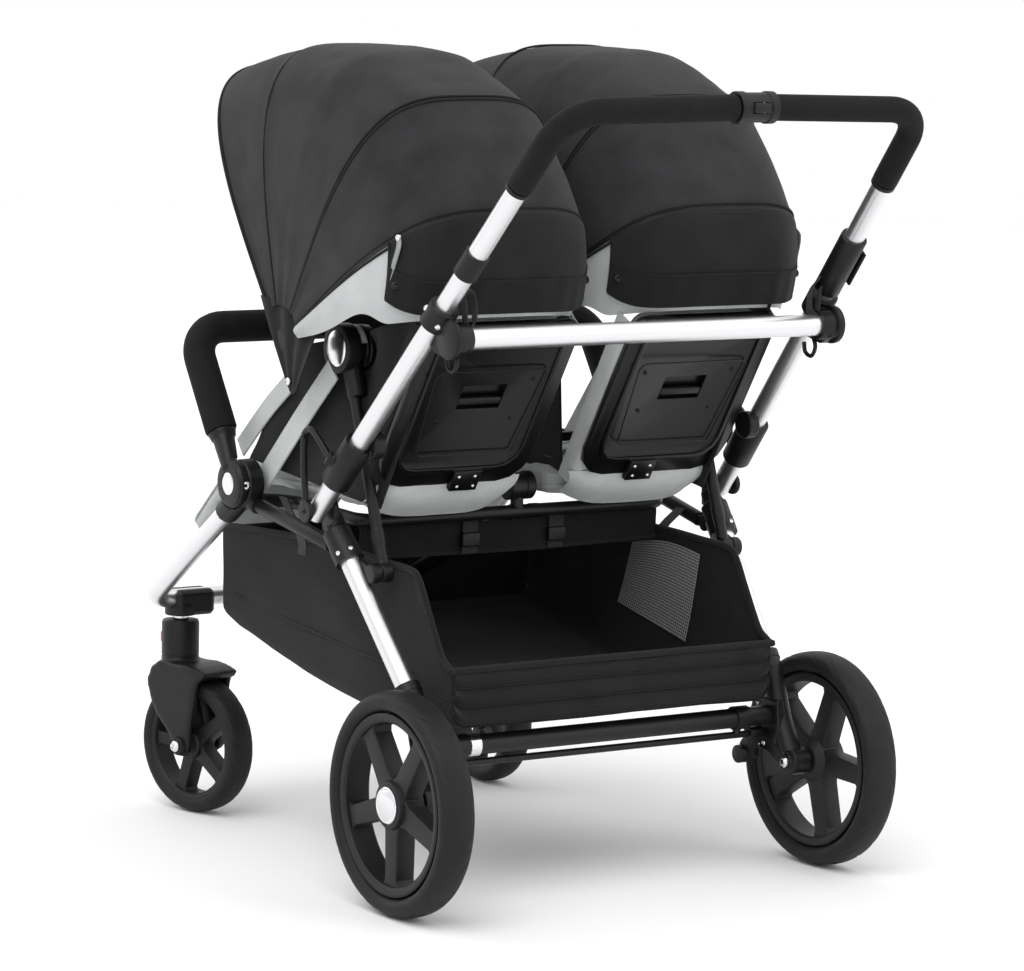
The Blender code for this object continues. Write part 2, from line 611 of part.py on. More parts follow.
def bumper():
    start = Vector((0.3420, -0.5080, 0.5960))
    knee = Vector((0.3430, -0.5450, 0.6550))
    corner = Vector((0.3430, -0.5980, 0.7350))
    half = [start, knee, corner]
    points = rounded_path(half + [mirrored(-1, point) for point in reversed(half)], 0.052, 4)
    foam = solid(along_curve(points, 0.0230, 2))
    place(smooth(foam), "bumper_bar", "foam", FRONT_HUB)
    for side_name, side in SIDES.items():
        centre = mirrored(side, FRONT_HUB)
        profile = [(0.0060, 0.0), (0.0060, 0.0350), (0.0160, 0.0350), (0.0195, 0.0310), (0.0195, 0.0155)]
        profile += [(0.0215, 0.0125), (0.0215, 0.0)]
        disc = turned(profile, centre, steps=20, axis=X_AXIS * side, closed=False)
        neck_low = centre + Vector((side * 0.0125, -0.006, 0.020))
        rise = (mirrored(side, knee) - mirrored(side, start)).normalized()
        foam_end = mirrored(side, start)
        flange = rod(foam_end - rise * 0.012, foam_end - rise * 0.0004, 0.0180, 16, 0.0210)
        neck = rod(neck_low, foam_end - rise * 0.006, 0.0125, 16, 0.0165)
        clear = rod(centre - X_AXIS * side * 0.03, centre + X_AXIS * side * 0.0058, 0.0365, 20)
        socket = fuse(cut(neck, clear), flange, disc)
        place(smooth(socket), "bumper_socket_" + side_name, "plastic", centre)


# Seats

BACK_SLOPE = math.radians(58.1)
BACK_LENGTH = 0.279


def back_frame(centre_x):
    """Axes of a backrest: X across, Y up the back, Z towards the child."""
    up = Vector((0.0, math.cos(BACK_SLOPE), math.sin(BACK_SLOPE)))
    front = Vector((0.0, -math.sin(BACK_SLOPE), math.cos(BACK_SLOPE)))
    rows = Matrix((X_AXIS, up, front)).transposed().to_4x4()
    return Matrix.Translation((centre_x, BACK_PIVOT.y, BACK_PIVOT.z)) @ rows


def rounded_outline(half_width, low, high, low_radius, high_radius, steps=3):
    corners = [
        (half_width - low_radius, low + low_radius, low_radius, -90),
        (half_width - high_radius, high - high_radius, high_radius, 0),
        (-half_width + high_radius, high - high_radius, high_radius, 90),
        (-half_width + low_radius, low + low_radius, low_radius, 180)]
    points = []
    for x, y, radius, start in corners:
        for step in range(steps + 1):
            angle = math.radians(start + 90.0 * step / steps)
            points.append((x + radius * math.cos(angle), y + radius * math.sin(angle)))
    return points


def slab(outline, low, high):
    """A flat outline in the XY plane, extruded along Z."""
    curve = bpy.data.curves.new("slab", "CURVE")
    curve.dimensions = "2D"
    curve.fill_mode = "BOTH"
    curve.extrude = (high - low) / 2
    spline = curve.splines.new("POLY")
    spline.points.add(len(outline) - 1)
    spline.use_cyclic_u = True
    for index, (x, y) in enumerate(outline):
        spline.points[index].co = (x, y, 0.0, 1.0)
    obj = bpy.data.objects.new("slab", curve)
    scene.collection.objects.link(obj)
    obj.matrix_world = Matrix.Translation((0.0, 0.0, (low + high) / 2))
    return solid(obj)


def cushion(half_width, low, high, thick, channels, pull=0.010):
    """A crowned pad in the XY plane: a coarse cage with drawn-in sides, sewn across in channels."""
    across = 4
    along = 2 * (channels + 1)
    bm = bmesh.new()
    layers = []
    for top in (0, 1):
        rows = []
        for j in range(along + 1):
            v = j / along
            edge_v = 1.0 - abs(2 * v - 1) ** 4
            sewn = 0.55 if 0 < j < along and j % 2 == 0 else 1.0
            row = []
            for i in range(across + 1):
                u = i / across
                edge_u = 1.0 - abs(2 * u - 1) ** 4
                crown = (0.35 + 0.65 * (edge_u * edge_v) ** 0.5 * sewn) * thick
                x = (2 * u - 1) * (half_width - pull * edge_v * 0.6 * abs(2 * u - 1))
                y = low + (high - low) * v
                y += pull * edge_u * (0.6 if v < 0.5 else -0.6) * abs(2 * v - 1)
                row.append(bm.verts.new((x, y, crown if top else 0.0)))
            rows.append(row)
        layers.append(rows)
    for top, rows in enumerate(layers):
        for j in range(along):
            for i in range(across):
                quad = [rows[j][i], rows[j][i + 1], rows[j + 1][i + 1], rows[j + 1][i]]
                bm.faces.new(quad if top else quad[::-1])
    ring = [(0, i) for i in range(across + 1)] + [(j, across) for j in range(1, along + 1)]
    ring += [(along, i) for i in range(across - 1, -1, -1)] + [(j, 0) for j in range(along - 1, 0, -1)]
    for (j0, i0), (j1, i1) in zip(ring, ring[1:] + ring[:1]):
        bm.faces.new((layers[0][j0][i0], layers[0][j1][i1], layers[1][j1][i1], layers[1][j0][i0]))
    obj = add_mesh(bm, "cushion")
    soft = obj.modifiers.new("soft", "SUBSURF")
    soft.levels = 1
    soft.render_levels = 1
    obj = solid(obj)
    obj.data.shade_smooth()
    return obj


def seat_back(side_name, side):
    centre_x = side * SEAT_X
    to_world = back_frame(centre_x)
    pivot = (centre_x, BACK_PIVOT.y, BACK_PIVOT.z)
    outline = rounded_outline(SEAT_HALF_WIDTH, 0.004, BACK_LENGTH, 0.045, 0.020)
    panel = slab(outline, 0.002, 0.012)
    rim = rounded_outline(SEAT_HALF_WIDTH - 0.020, 0.030, BACK_LENGTH - 0.020, 0.035, 0.015)
    rim = slab(rim, -0.003, 0.004)
    recess = rounded_outline(SEAT_HALF_WIDTH - 0.026, 0.036, BACK_LENGTH - 0.026, 0.030, 0.010)
    recess = slab(recess, -0.010, 0.0015)
    window = block((0.0, 0.156, 0.0), (0.070, 0.040, 0.060))
    bracket = block((side * -0.020, 0.016, -0.003), (0.044, 0.034, 0.010))
    body = fuse(cut(fuse(panel, rim), recess), bracket)
    body = cut(body, window)
    move(body, to_world)
    place(smooth(body), "back_shell_" + side_name, "shell", pivot)

    bar = solid(bevel(block((0.0, 0.1480, 0.0060), (0.0694, 0.0120, 0.0090)), 0.002, 1))
    move(bar, to_world)
    place(bar, "recline_bar_" + side_name, "plastic", to_world @ Vector((0.0, 0.1480, 0.0060)))

    pad = cushion(0.108, 0.020, 0.270, 0.034, 2)
    move(pad, to_world @ Matrix.Translation((0, 0, 0.0135)))
    place(pad, "back_pad_" + side_name, "seat_cloth", pivot)


def seat_base(side_name, side):
    centre_x = side * SEAT_X
    pan = cushion(0.112, -0.584, -0.245, 0.046, 2)
    move(pan, Matrix.Translation((centre_x * 0.94, 0.0, 0.512)))
    wing_shape = [
        (-0.5400, 0.5300), (-0.2500, 0.5300), (-0.2300, 0.5700), (-0.2150, 0.6900), (-0.2500, 0.7000),
        (-0.3000, 0.6900), (-0.4400, 0.5950)]
    inner = centre_x * 0.94 - side * 0.1060
    outer = centre_x * 0.94 + side * 0.1060
    walls = [plate(wing_shape, outer - side * 0.018, outer - side * 0.010)]
    walls.append(plate(wing_shape, inner + side * 0.010, inner + side * 0.018))
    body = fuse(pan, *walls)
    front_edge = (centre_x, LEG_REST_PIVOT.y, LEG_REST_PIVOT.z)
    place(smooth(body, 60.0), "seat_" + side_name, "seat_cloth", front_edge)

    rest = cushion(0.108, 0.004, 0.160, 0.030, 1, 0.006)
    drop = Matrix.Rotation(math.radians(-138.0), 4, "X")
    hang = Matrix.Translation((centre_x * 0.94, LEG_REST_PIVOT.y, LEG_REST_PIVOT.z)) @ drop
    move(rest, hang @ Matrix.Translation((0, 0, -0.013)))
    place(rest, "leg_rest_" + side_name, "seat_cloth", front_edge)


# Hoods

HOOD_HALF_WIDTH = 0.1765
HOOD_X = 0.1795
HOOD_WALL = 0.005
HOOD_BOXINESS = 0.58


def hood_radius(angle):
    """Distance of the hood's crest from its pivot, by the angle of the bow in degrees."""
    marks = [(10.0, 0.300), (30.0, 0.376), (59.0, 0.400), (80.0, 0.404), (105.0, 0.416), (126.0, 0.455)]
    for (a0, r0), (a1, r1) in zip(marks, marks[1:]):
        if angle <= a1:
            blend = (angle - a0) / (a1 - a0)
            return r0 + (r1 - r0) * blend
    return marks[-1][1]


def hood_panel(name, centre_x, first, last, stations, pivot):
    """A fan of arched bows about the hood pivot, with one thickness of cloth."""
    across = 10
    bm = bmesh.new()
    rows = []
    for j in range(stations + 1):
        angle = first + (last - first) * j / stations
        crest = hood_radius(angle)
        direction = Vector((0.0, math.cos(math.radians(angle)), math.sin(math.radians(angle))))
        row = []
        for i in range(across + 1):
            turn = math.pi * i / across
            wide = math.copysign(abs(math.cos(turn)) ** HOOD_BOXINESS, math.cos(turn))
            high = math.sin(turn) ** HOOD_BOXINESS if 0 < i < across else 0.0
            reach = 0.050 + (crest - 0.050) * high
            width = HOOD_HALF_WIDTH - 0.006 * (1.0 - high)
            row.append(bm.verts.new(HOOD_PIVOT + direction * reach + Vector((centre_x + wide * width, 0, 0))))
        rows.append(row)
    for j in range(stations):
        for i in range(across):
            bm.faces.new((rows[j][i], rows[j][i + 1], rows[j + 1][i + 1], rows[j + 1][i]))
    bmesh.ops.recalc_face_normals(bm, faces=bm.faces)
    obj = add_mesh(bm, name)
    cloth = obj.modifiers.new("cloth", "SOLIDIFY")
    cloth.thickness = HOOD_WALL
    cloth.offset = -1.0
    obj = solid(obj)
    return place(smooth(obj, 50.0), name, "hood_cloth", pivot)


def hoods():
    for side_name, side in SIDES.items():
        centre_x = side * HOOD_X
        pivot = (centre_x, HOOD_PIVOT.y, HOOD_PIVOT.z)
        hood_panel("hood_rear_" + side_name, centre_x, 10.0, 58.8, 6, pivot)
        hood_panel("hood_front_" + side_name, centre_x, 59.4, 126.0, 7, pivot)


# Basket

def basket():
    """An open tray: a loft of unlike sections along the stroller, given one thickness of cloth."""
    half = 0.2670
    stations = [
        (-0.630, 0.306, 0.440), (-0.595, 0.294, 0.444), (-0.406, 0.256, 0.452), (-0.250, 0.236, 0.450),
        (-0.105, 0.236, 0.444), (-0.040, 0.238, 0.338), (-0.012, 0.243, 0.322)]
    bm = bmesh.new()
    rows = []
    w = half
    for y, low, high in stations:
        row = []
        for x, z in (
                (-w, high), (-w, (high + low) / 2), (-w + 0.004, low + 0.020), (-w + 0.024, low),
                (-w / 2, low - 0.002), (0.0, low - 0.003), (w / 2, low - 0.002),
                (w - 0.024, low), (w - 0.004, low + 0.020), (w, (high + low) / 2), (w, high)):
            row.append(bm.verts.new((x, y, z)))
        rows.append(row)
    for before, after in zip(rows, rows[1:]):
        for i in range(len(before) - 1):
            bm.faces.new((before[i], before[i + 1], after[i + 1], after[i]))
    for row in (rows[0], rows[-1]):
        bm.faces.new(row)
    bmesh.ops.recalc_face_normals(bm, faces=bm.faces)
    obj = add_mesh(bm, "basket")
    cloth = obj.modifiers.new("cloth", "SOLIDIFY")
    cloth.thickness = 0.0045
    cloth.offset = -1.0
    notch = block((0.0, -0.620, 0.400), (0.032, 0.060, 0.154))
    obj = cut(solid(obj), notch)
    place(smooth(obj, 40.0), "basket", "basket_cloth")


def main():
    front_frame()
    for side_name, side in SIDES.items():
        caster(side_name, side)
    rear_frame()
    rear_wheels()
    handle_frame()
    seat_posts()
    bumper()
    for side_name, side in SIDES.items():
        seat_back(side_name, side)
        seat_base(side_name, side)
    hoods()
    basket()


main()
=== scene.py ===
"""The looks of a side-by-side double stroller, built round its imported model.

Metres, +Z up, front towards -Y, +X the side that is nearest in the photograph.
Places are given from the rear axle, on the ground under it, as the model's own source gives them.
"""
import json
import math

import bmesh
import bpy
from mathutils import Matrix, Vector, noise
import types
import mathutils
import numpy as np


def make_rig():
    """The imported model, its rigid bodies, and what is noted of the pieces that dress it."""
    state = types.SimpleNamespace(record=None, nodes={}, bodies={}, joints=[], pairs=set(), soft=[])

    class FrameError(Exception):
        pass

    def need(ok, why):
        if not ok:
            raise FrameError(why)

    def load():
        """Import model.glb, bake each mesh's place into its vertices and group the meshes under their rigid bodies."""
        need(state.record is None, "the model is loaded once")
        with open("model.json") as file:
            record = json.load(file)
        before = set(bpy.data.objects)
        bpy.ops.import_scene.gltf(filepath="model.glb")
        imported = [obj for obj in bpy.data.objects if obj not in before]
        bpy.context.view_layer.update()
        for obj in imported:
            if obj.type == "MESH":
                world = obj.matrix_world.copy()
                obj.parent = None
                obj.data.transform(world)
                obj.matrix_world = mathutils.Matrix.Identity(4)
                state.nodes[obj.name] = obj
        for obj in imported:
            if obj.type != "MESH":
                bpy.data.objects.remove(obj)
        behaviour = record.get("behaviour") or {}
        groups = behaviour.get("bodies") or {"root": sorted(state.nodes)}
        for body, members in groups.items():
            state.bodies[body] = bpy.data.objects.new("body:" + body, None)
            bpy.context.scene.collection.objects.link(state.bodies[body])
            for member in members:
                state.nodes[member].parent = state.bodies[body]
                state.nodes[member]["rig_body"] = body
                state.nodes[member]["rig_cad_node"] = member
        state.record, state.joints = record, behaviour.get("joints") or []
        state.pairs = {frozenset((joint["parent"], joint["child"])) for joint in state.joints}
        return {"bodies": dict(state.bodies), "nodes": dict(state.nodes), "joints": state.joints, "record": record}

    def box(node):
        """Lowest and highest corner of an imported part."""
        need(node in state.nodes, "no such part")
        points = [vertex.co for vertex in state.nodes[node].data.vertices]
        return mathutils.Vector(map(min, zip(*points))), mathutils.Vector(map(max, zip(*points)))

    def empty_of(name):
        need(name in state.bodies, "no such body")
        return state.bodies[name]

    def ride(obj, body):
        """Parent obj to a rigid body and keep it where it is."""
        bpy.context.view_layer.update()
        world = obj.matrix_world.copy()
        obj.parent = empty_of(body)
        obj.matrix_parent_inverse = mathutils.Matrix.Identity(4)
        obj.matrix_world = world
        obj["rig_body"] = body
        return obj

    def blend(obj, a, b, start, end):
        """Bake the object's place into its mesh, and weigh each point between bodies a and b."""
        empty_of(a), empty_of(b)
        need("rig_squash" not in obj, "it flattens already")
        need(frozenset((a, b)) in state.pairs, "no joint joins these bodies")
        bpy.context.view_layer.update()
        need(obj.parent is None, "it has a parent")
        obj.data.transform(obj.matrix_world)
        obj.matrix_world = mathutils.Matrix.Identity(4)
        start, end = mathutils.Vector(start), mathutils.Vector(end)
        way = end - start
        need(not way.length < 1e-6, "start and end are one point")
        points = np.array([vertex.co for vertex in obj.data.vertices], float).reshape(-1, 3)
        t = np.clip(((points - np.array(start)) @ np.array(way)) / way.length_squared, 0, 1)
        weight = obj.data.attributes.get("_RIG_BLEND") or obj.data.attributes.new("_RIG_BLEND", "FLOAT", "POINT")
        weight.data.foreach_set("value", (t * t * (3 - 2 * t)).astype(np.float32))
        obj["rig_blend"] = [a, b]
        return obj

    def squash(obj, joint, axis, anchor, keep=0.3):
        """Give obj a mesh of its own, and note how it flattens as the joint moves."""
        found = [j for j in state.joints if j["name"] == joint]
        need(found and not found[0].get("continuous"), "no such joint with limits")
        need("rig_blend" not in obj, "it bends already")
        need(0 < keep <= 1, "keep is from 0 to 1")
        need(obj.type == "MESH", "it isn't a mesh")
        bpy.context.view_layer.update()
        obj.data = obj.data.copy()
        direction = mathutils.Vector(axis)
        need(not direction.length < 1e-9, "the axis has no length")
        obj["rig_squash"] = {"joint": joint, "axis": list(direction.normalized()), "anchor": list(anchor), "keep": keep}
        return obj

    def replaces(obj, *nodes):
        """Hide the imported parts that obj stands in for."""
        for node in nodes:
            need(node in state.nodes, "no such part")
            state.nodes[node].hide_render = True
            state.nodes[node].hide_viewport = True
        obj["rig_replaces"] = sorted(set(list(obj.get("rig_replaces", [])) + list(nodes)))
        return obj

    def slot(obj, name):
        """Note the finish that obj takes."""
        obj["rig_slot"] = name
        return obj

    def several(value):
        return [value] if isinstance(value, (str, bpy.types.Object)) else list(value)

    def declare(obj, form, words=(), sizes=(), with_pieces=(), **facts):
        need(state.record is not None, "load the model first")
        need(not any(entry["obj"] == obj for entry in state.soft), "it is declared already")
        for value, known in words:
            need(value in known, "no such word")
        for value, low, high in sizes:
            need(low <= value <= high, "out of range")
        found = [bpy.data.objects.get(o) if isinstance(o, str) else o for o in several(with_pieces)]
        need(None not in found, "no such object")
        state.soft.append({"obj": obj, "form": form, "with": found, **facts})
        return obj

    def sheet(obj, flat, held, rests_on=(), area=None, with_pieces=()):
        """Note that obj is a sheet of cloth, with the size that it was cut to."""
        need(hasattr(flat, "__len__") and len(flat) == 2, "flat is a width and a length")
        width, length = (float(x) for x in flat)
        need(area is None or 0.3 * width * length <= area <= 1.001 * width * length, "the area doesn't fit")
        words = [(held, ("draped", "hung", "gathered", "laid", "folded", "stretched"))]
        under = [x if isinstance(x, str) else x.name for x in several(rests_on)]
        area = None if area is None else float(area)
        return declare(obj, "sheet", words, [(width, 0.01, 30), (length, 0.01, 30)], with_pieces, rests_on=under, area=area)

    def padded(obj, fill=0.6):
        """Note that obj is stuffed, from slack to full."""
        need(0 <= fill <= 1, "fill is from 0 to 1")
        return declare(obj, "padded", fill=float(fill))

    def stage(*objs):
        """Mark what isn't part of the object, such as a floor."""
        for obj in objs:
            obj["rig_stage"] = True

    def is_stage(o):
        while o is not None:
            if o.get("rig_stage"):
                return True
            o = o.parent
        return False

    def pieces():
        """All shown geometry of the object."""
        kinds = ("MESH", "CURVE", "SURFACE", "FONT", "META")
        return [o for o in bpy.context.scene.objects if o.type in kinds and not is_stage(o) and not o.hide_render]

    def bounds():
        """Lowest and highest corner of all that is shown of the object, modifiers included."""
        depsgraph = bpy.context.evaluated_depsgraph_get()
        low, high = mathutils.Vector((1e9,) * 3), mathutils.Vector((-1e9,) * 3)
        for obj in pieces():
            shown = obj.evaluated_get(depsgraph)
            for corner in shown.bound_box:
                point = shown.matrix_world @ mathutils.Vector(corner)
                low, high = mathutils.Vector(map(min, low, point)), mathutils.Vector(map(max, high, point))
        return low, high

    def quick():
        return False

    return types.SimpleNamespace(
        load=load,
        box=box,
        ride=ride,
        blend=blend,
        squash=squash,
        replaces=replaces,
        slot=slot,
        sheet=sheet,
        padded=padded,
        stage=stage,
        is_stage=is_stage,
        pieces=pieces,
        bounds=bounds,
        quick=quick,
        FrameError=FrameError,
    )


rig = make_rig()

bl_info = {
    "name": "Double Stroller",
    "version": (1, 0, 0),
    "blender": (4, 5, 0),
    "location": "3D View > Sidebar > Stroller",
    "description": "Cloth, foam, tubes, mouldings and wheels of a side-by-side stroller",
    "category": "Add Mesh",
}

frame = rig.load()
CAD_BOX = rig.bounds()

IMAGE_WIDTH = 1024
IMAGE_HEIGHT = 971
SIDES = {"left": 1.0, "right": -1.0}
X_AXIS = Vector((1.0, 0.0, 0.0))
Z_AXIS = Vector((0.0, 0.0, 1.0))
ORIGIN = Vector((0.0, 0.0, 0.0))
# Points closer than this are one point
WELD = 0.00001
HUB_STEPS = 56

# Places of the frame, from the rear axle
AXLE_Y = 0.2682
HANDLE_PIVOT = Vector((0.342, -0.240, 0.516))
HANDLE_SLOPE = Vector((-0.0723, 0.6632, 0.7484))
HANDLE_CREST = Vector((0.0, 0.2690, 1.0870))
GRIP_START = 0.6227
LEG_TOP = Vector((0.3195, -0.2250, 0.4852))
LEG_LOW = Vector((0.3000, -0.0600, 0.2820))
LEG_RUN = (LEG_LOW - LEG_TOP).normalized()
TUBE_RADIUS = 0.014
FRONT_HUB = Vector((0.340, -0.456, 0.528))
FRONT_TUBE_TOP = Vector((0.3378, -0.4810, 0.4932))
FRONT_TUBE_CORNER = Vector((0.314, -0.7665, 0.315))
SEAT_HUB = Vector((0.2865, -0.262, 0.735))
POST_FOOT = Vector((0.2865, -0.155, 0.438))
CROSSBAR = Vector((0.0, 0.043, 0.775))
REAR_AXLE_TUBE = Vector((0.0, -0.040, 0.213))
BACK_PIVOT = Vector((0.1675, -0.185, 0.545))
LEG_REST_PIVOT = Vector((0.1675, -0.592, 0.532))
HOOD_PIVOT = Vector((0.1795, -0.335, 0.740))
CASTER = Vector((0.2605, -0.7665, 0.0))
CASTER_TURN = {"left": math.radians(14.0), "right": 0.0}
BACK_SLOPE = math.radians(58.1)
BASKET_HALF_WIDTH = 0.267


def at(point):
    """A point given from the rear axle, in the model's frame."""
    return Vector((point[0], point[1] + AXLE_Y, point[2]))


def on_side(side, point):
    return at((side * point[0], point[1], point[2]))


def on_handle(side, distance):
    return on_side(side, HANDLE_PIVOT + HANDLE_SLOPE * distance)


def handle_slope(side):
    return Vector((side * HANDLE_SLOPE.x, HANDLE_SLOPE.y, HANDLE_SLOPE.z))


def mirrored(points):
    """The same points on the other side, in reverse, to carry a line on over the middle."""
    return [Vector((-point.x, point.y, point.z)) for point in reversed(points)]


def doubled(half):
    """A profile from its +X half, given from its end to its middle."""
    return [(-along, reach) for along, reach in half] + half[::-1]


def sleeve(start, end, bore, radius, run, step):
    """Profile of a sleeve with chamfered ends."""
    return [
        (start, bore), (start, radius - step), (start + run, radius), (end - run, radius),
        (end, radius - step), (end, bore)]


def ripple(depth, *place):
    """An uneven rise and fall of about a depth, by place."""
    return noise.noise(Vector(place)) * depth


def path_length(points):
    return sum((b - a).length for a, b in zip(points, points[1:]))


def linear(text):
    """An sRGB hex colour as linear red, green, blue and alpha."""
    values = [int(text[index:index + 2], 16) / 255.0 for index in (1, 3, 5)]
    turned = [v / 12.92 if v <= 0.04045 else ((v + 0.055) / 1.055) ** 2.4 for v in values]
    return (*turned, 1.0)


def colour_setting(name, words, text):
    return bpy.props.FloatVectorProperty(
        name=name, description=words, subtype="COLOR", size=4, min=0.0, max=1.0, default=linear(text))


def length_setting(name, words, value):
    return bpy.props.FloatProperty(name=name, description=words, unit="LENGTH", default=value, min=0.0)


class StrollerColours(bpy.types.PropertyGroup):
    hood: colour_setting("Hood", "Charcoal cloth of the hoods", "#232325")
    hood_back: colour_setting("Hood back", "Darker cloth behind the zip", "#151516")
    basket: colour_setting("Basket", "Black cloth of the basket", "#0e0e0f")
    seat: colour_setting("Seat", "Light grey cloth of the seats", "#b6b9b9")
    plastic: colour_setting("Mouldings", "Black moulded joints", "#101011")
    shell: colour_setting("Shell", "Back of the seats", "#0b0b0c")
    aluminium: colour_setting("Tubes", "Anodised aluminium", "#e2e2e4")
    foam: colour_setting("Foam", "Grip and bumper", "#161617")
    tyre: colour_setting("Tyres", "Tyre compound", "#1c1c1d")
    wheel: colour_setting("Wheels", "Spokes and rims", "#161617")
    button: colour_setting("Button", "Swivel lock", "#d8391c")


class StrollerSizes(bpy.types.PropertyGroup):
    hood_sag: length_setting("Hood sag", "How far the cloth dips between two bows", 0.0045)
    hood_cloth: length_setting("Hood cloth", "Thickness of the hood cloth", 0.0012)
    piping: length_setting("Piping", "Radius of the piping on seams", 0.0017)
    seam_groove: length_setting("Seam groove", "Depth of a sewn channel in a pad", 0.0065)
    sipe: length_setting("Sipe", "Depth of the lines in the tread", 0.0014)
    webbing: length_setting("Webbing", "Width of the harness straps", 0.025)
    basket_cloth: length_setting("Basket cloth", "Thickness of the basket cloth", 0.0016)


# Materials

def add_node(material, kind, values=(), links=(), **settings):
    """Adds a shader node with its settings, its socket values and its links."""
    tree = material.node_tree
    node = tree.nodes.new(kind)
    for name, value in settings.items():
        setattr(node, name, value)
    for socket, value in dict(values).items():
        node.inputs[socket].default_value = value
    for socket, source in dict(links).items():
        tree.links.new(source, node.inputs[socket])
    return node


def start_material(name, colour, roughness, metallic=0.0, **sockets):
    """A material with its Principled shader, whose other sockets are named with underscores for spaces."""
    material = bpy.data.materials.new(name)
    material.use_nodes = True
    shader = material.node_tree.nodes["Principled BSDF"]
    shader.inputs["Base Color"].default_value = colour
    shader.inputs["Roughness"].default_value = roughness
    shader.inputs["Metallic"].default_value = metallic
    for socket, value in sockets.items():
        shader.inputs[socket.replace("_", " ")].default_value = value
    return material, shader


def link(material, source, target):
    material.node_tree.links.new(source, target)


def shade(colour, factor):
    return (colour[0] * factor, colour[1] * factor, colour[2] * factor, 1.0)


def vary(material, shader, colour, vector, size, dark, light):
    """Lets a colour drift between a darker and a lighter shade over patches of a size in metres."""
    patches = add_node(
        material, "ShaderNodeTexNoise", {"Scale": 1.0 / size, "Detail": 3.0}, {"Vector": vector})
    ramp = add_node(
        material, "ShaderNodeMapRange", {1: 0.3, 2: 0.7, 3: 0.0, 4: 1.0}, {0: patches.outputs["Fac"]})
    mix = add_node(
        material, "ShaderNodeMix", {6: shade(colour, dark), 7: shade(colour, light)},
        {0: ramp.outputs[0]}, data_type="RGBA")
    link(material, mix.outputs[2], shader.inputs["Base Color"])
    return mix


def bump(material, shader, height, distance):
    node = add_node(material, "ShaderNodeBump", {"Distance": distance, "Strength": 1.0}, {"Height": height})
    link(material, node.outputs["Normal"], shader.inputs["Normal"])


def metal(name, colour, roughness, scale, low, high, depth=0.0):
    """A bare metal whose roughness wanders between two values, with fine grain where a depth is given."""
    material, shader = start_material(name, colour, roughness, metallic=1.0)
    place = add_node(material, "ShaderNodeTexCoord")
    grain = add_node(
        material, "ShaderNodeTexNoise", {"Scale": scale, "Detail": 2.0}, {"Vector": place.outputs["Object"]})
    rough = add_node(material, "ShaderNodeMapRange", {3: low, 4: high}, {0: grain.outputs["Fac"]})
    link(material, rough.outputs[0], shader.inputs["Roughness"])
    if depth:
        bump(material, shader, grain.outputs["Fac"], depth)
    return material


def grained(name, colour, roughness, grain, depth, patch=0.05, shine=0.3):
    """A moulded or coated surface: spark-eroded grain of a size in metres, drawn coarse enough to show."""
    material, shader = start_material(name, colour, roughness, Specular_IOR_Level=shine)
    place = add_node(material, "ShaderNodeTexCoord")
    where = place.outputs["Object"]
    vary(material, shader, colour, where, patch, 0.85, 1.18)
    pits = add_node(material, "ShaderNodeTexNoise", {"Scale": 1.0 / grain, "Detail": 3.0}, {"Vector": where})
    rough = add_node(
        material, "ShaderNodeMapRange", {3: roughness - 0.07, 4: roughness + 0.09}, {0: pits.outputs["Fac"]})
    link(material, rough.outputs[0], shader.inputs["Roughness"])
    bump(material, shader, pits.outputs["Fac"], depth)
    return material


def woven(name, colour, pitch, depth, twill=0.0, patch=0.03, spread=(0.74, 1.34)):
    """Cloth from its UV map in metres: warp and weft of a thread pitch, turned to a twill where given.

    Real threads are about 0.4 mm apart and wouldn't show, so the pitch is drawn coarser.
    """
    material, shader = start_material(
        name, colour, 0.92, Sheen_Weight=0.06, Sheen_Roughness=0.6, Specular_IOR_Level=0.25)
    place = add_node(material, "ShaderNodeTexCoord")
    slanted = add_node(
        material, "ShaderNodeMapping", {"Rotation": (0.0, 0.0, twill)}, {"Vector": place.outputs["UV"]})
    parts = add_node(material, "ShaderNodeSeparateXYZ", (), {"Vector": slanted.outputs["Vector"]})
    waves = []
    for axis in ("X", "Y"):
        count = add_node(
            material, "ShaderNodeMath", {1: math.tau / pitch}, {0: parts.outputs[axis]},
            operation="MULTIPLY")
        waves.append(add_node(material, "ShaderNodeMath", (), {0: count.outputs[0]}, operation="SINE"))
    threads = add_node(
        material, "ShaderNodeMath", (), {0: waves[0].outputs[0], 1: waves[1].outputs[0]},
        operation="MULTIPLY")
    mix = vary(material, shader, colour, place.outputs["Object"], patch, *spread)
    tone = add_node(
        material, "ShaderNodeMapRange", {1: -1.0, 2: 1.0, 3: 0.62, 4: 1.45}, {0: threads.outputs[0]})
    fibre = add_node(
        material, "ShaderNodeMix", {0: 1.0}, {6: mix.outputs[2], 7: tone.outputs[0]},
        data_type="RGBA", blend_type="MULTIPLY")
    link(material, fibre.outputs[2], shader.inputs["Base Color"])
    bump(material, shader, threads.outputs[0], depth)
    return material


def knotted_net(colour, pitch):
    """Net of the basket: pale yarn round dark holes, on a hexagon-like grid."""
    material, shader = start_material("knotted_net", colour, 0.9)
    place = add_node(material, "ShaderNodeTexCoord")
    holes = add_node(
        material, "ShaderNodeTexVoronoi", {"Scale": 1.0 / pitch, "Randomness": 0.12},
        {"Vector": place.outputs["UV"]}, voronoi_dimensions="2D")
    edge = add_node(material, "ShaderNodeMapRange", {1: 0.26, 2: 0.42}, {0: holes.outputs["Distance"]})
    mix = add_node(
        material, "ShaderNodeMix", {6: linear("#1a1a1b"), 7: colour}, {0: edge.outputs[0]}, data_type="RGBA")
    link(material, mix.outputs[2], shader.inputs["Base Color"])
    bump(material, shader, edge.outputs[0], 0.0006)
    return material


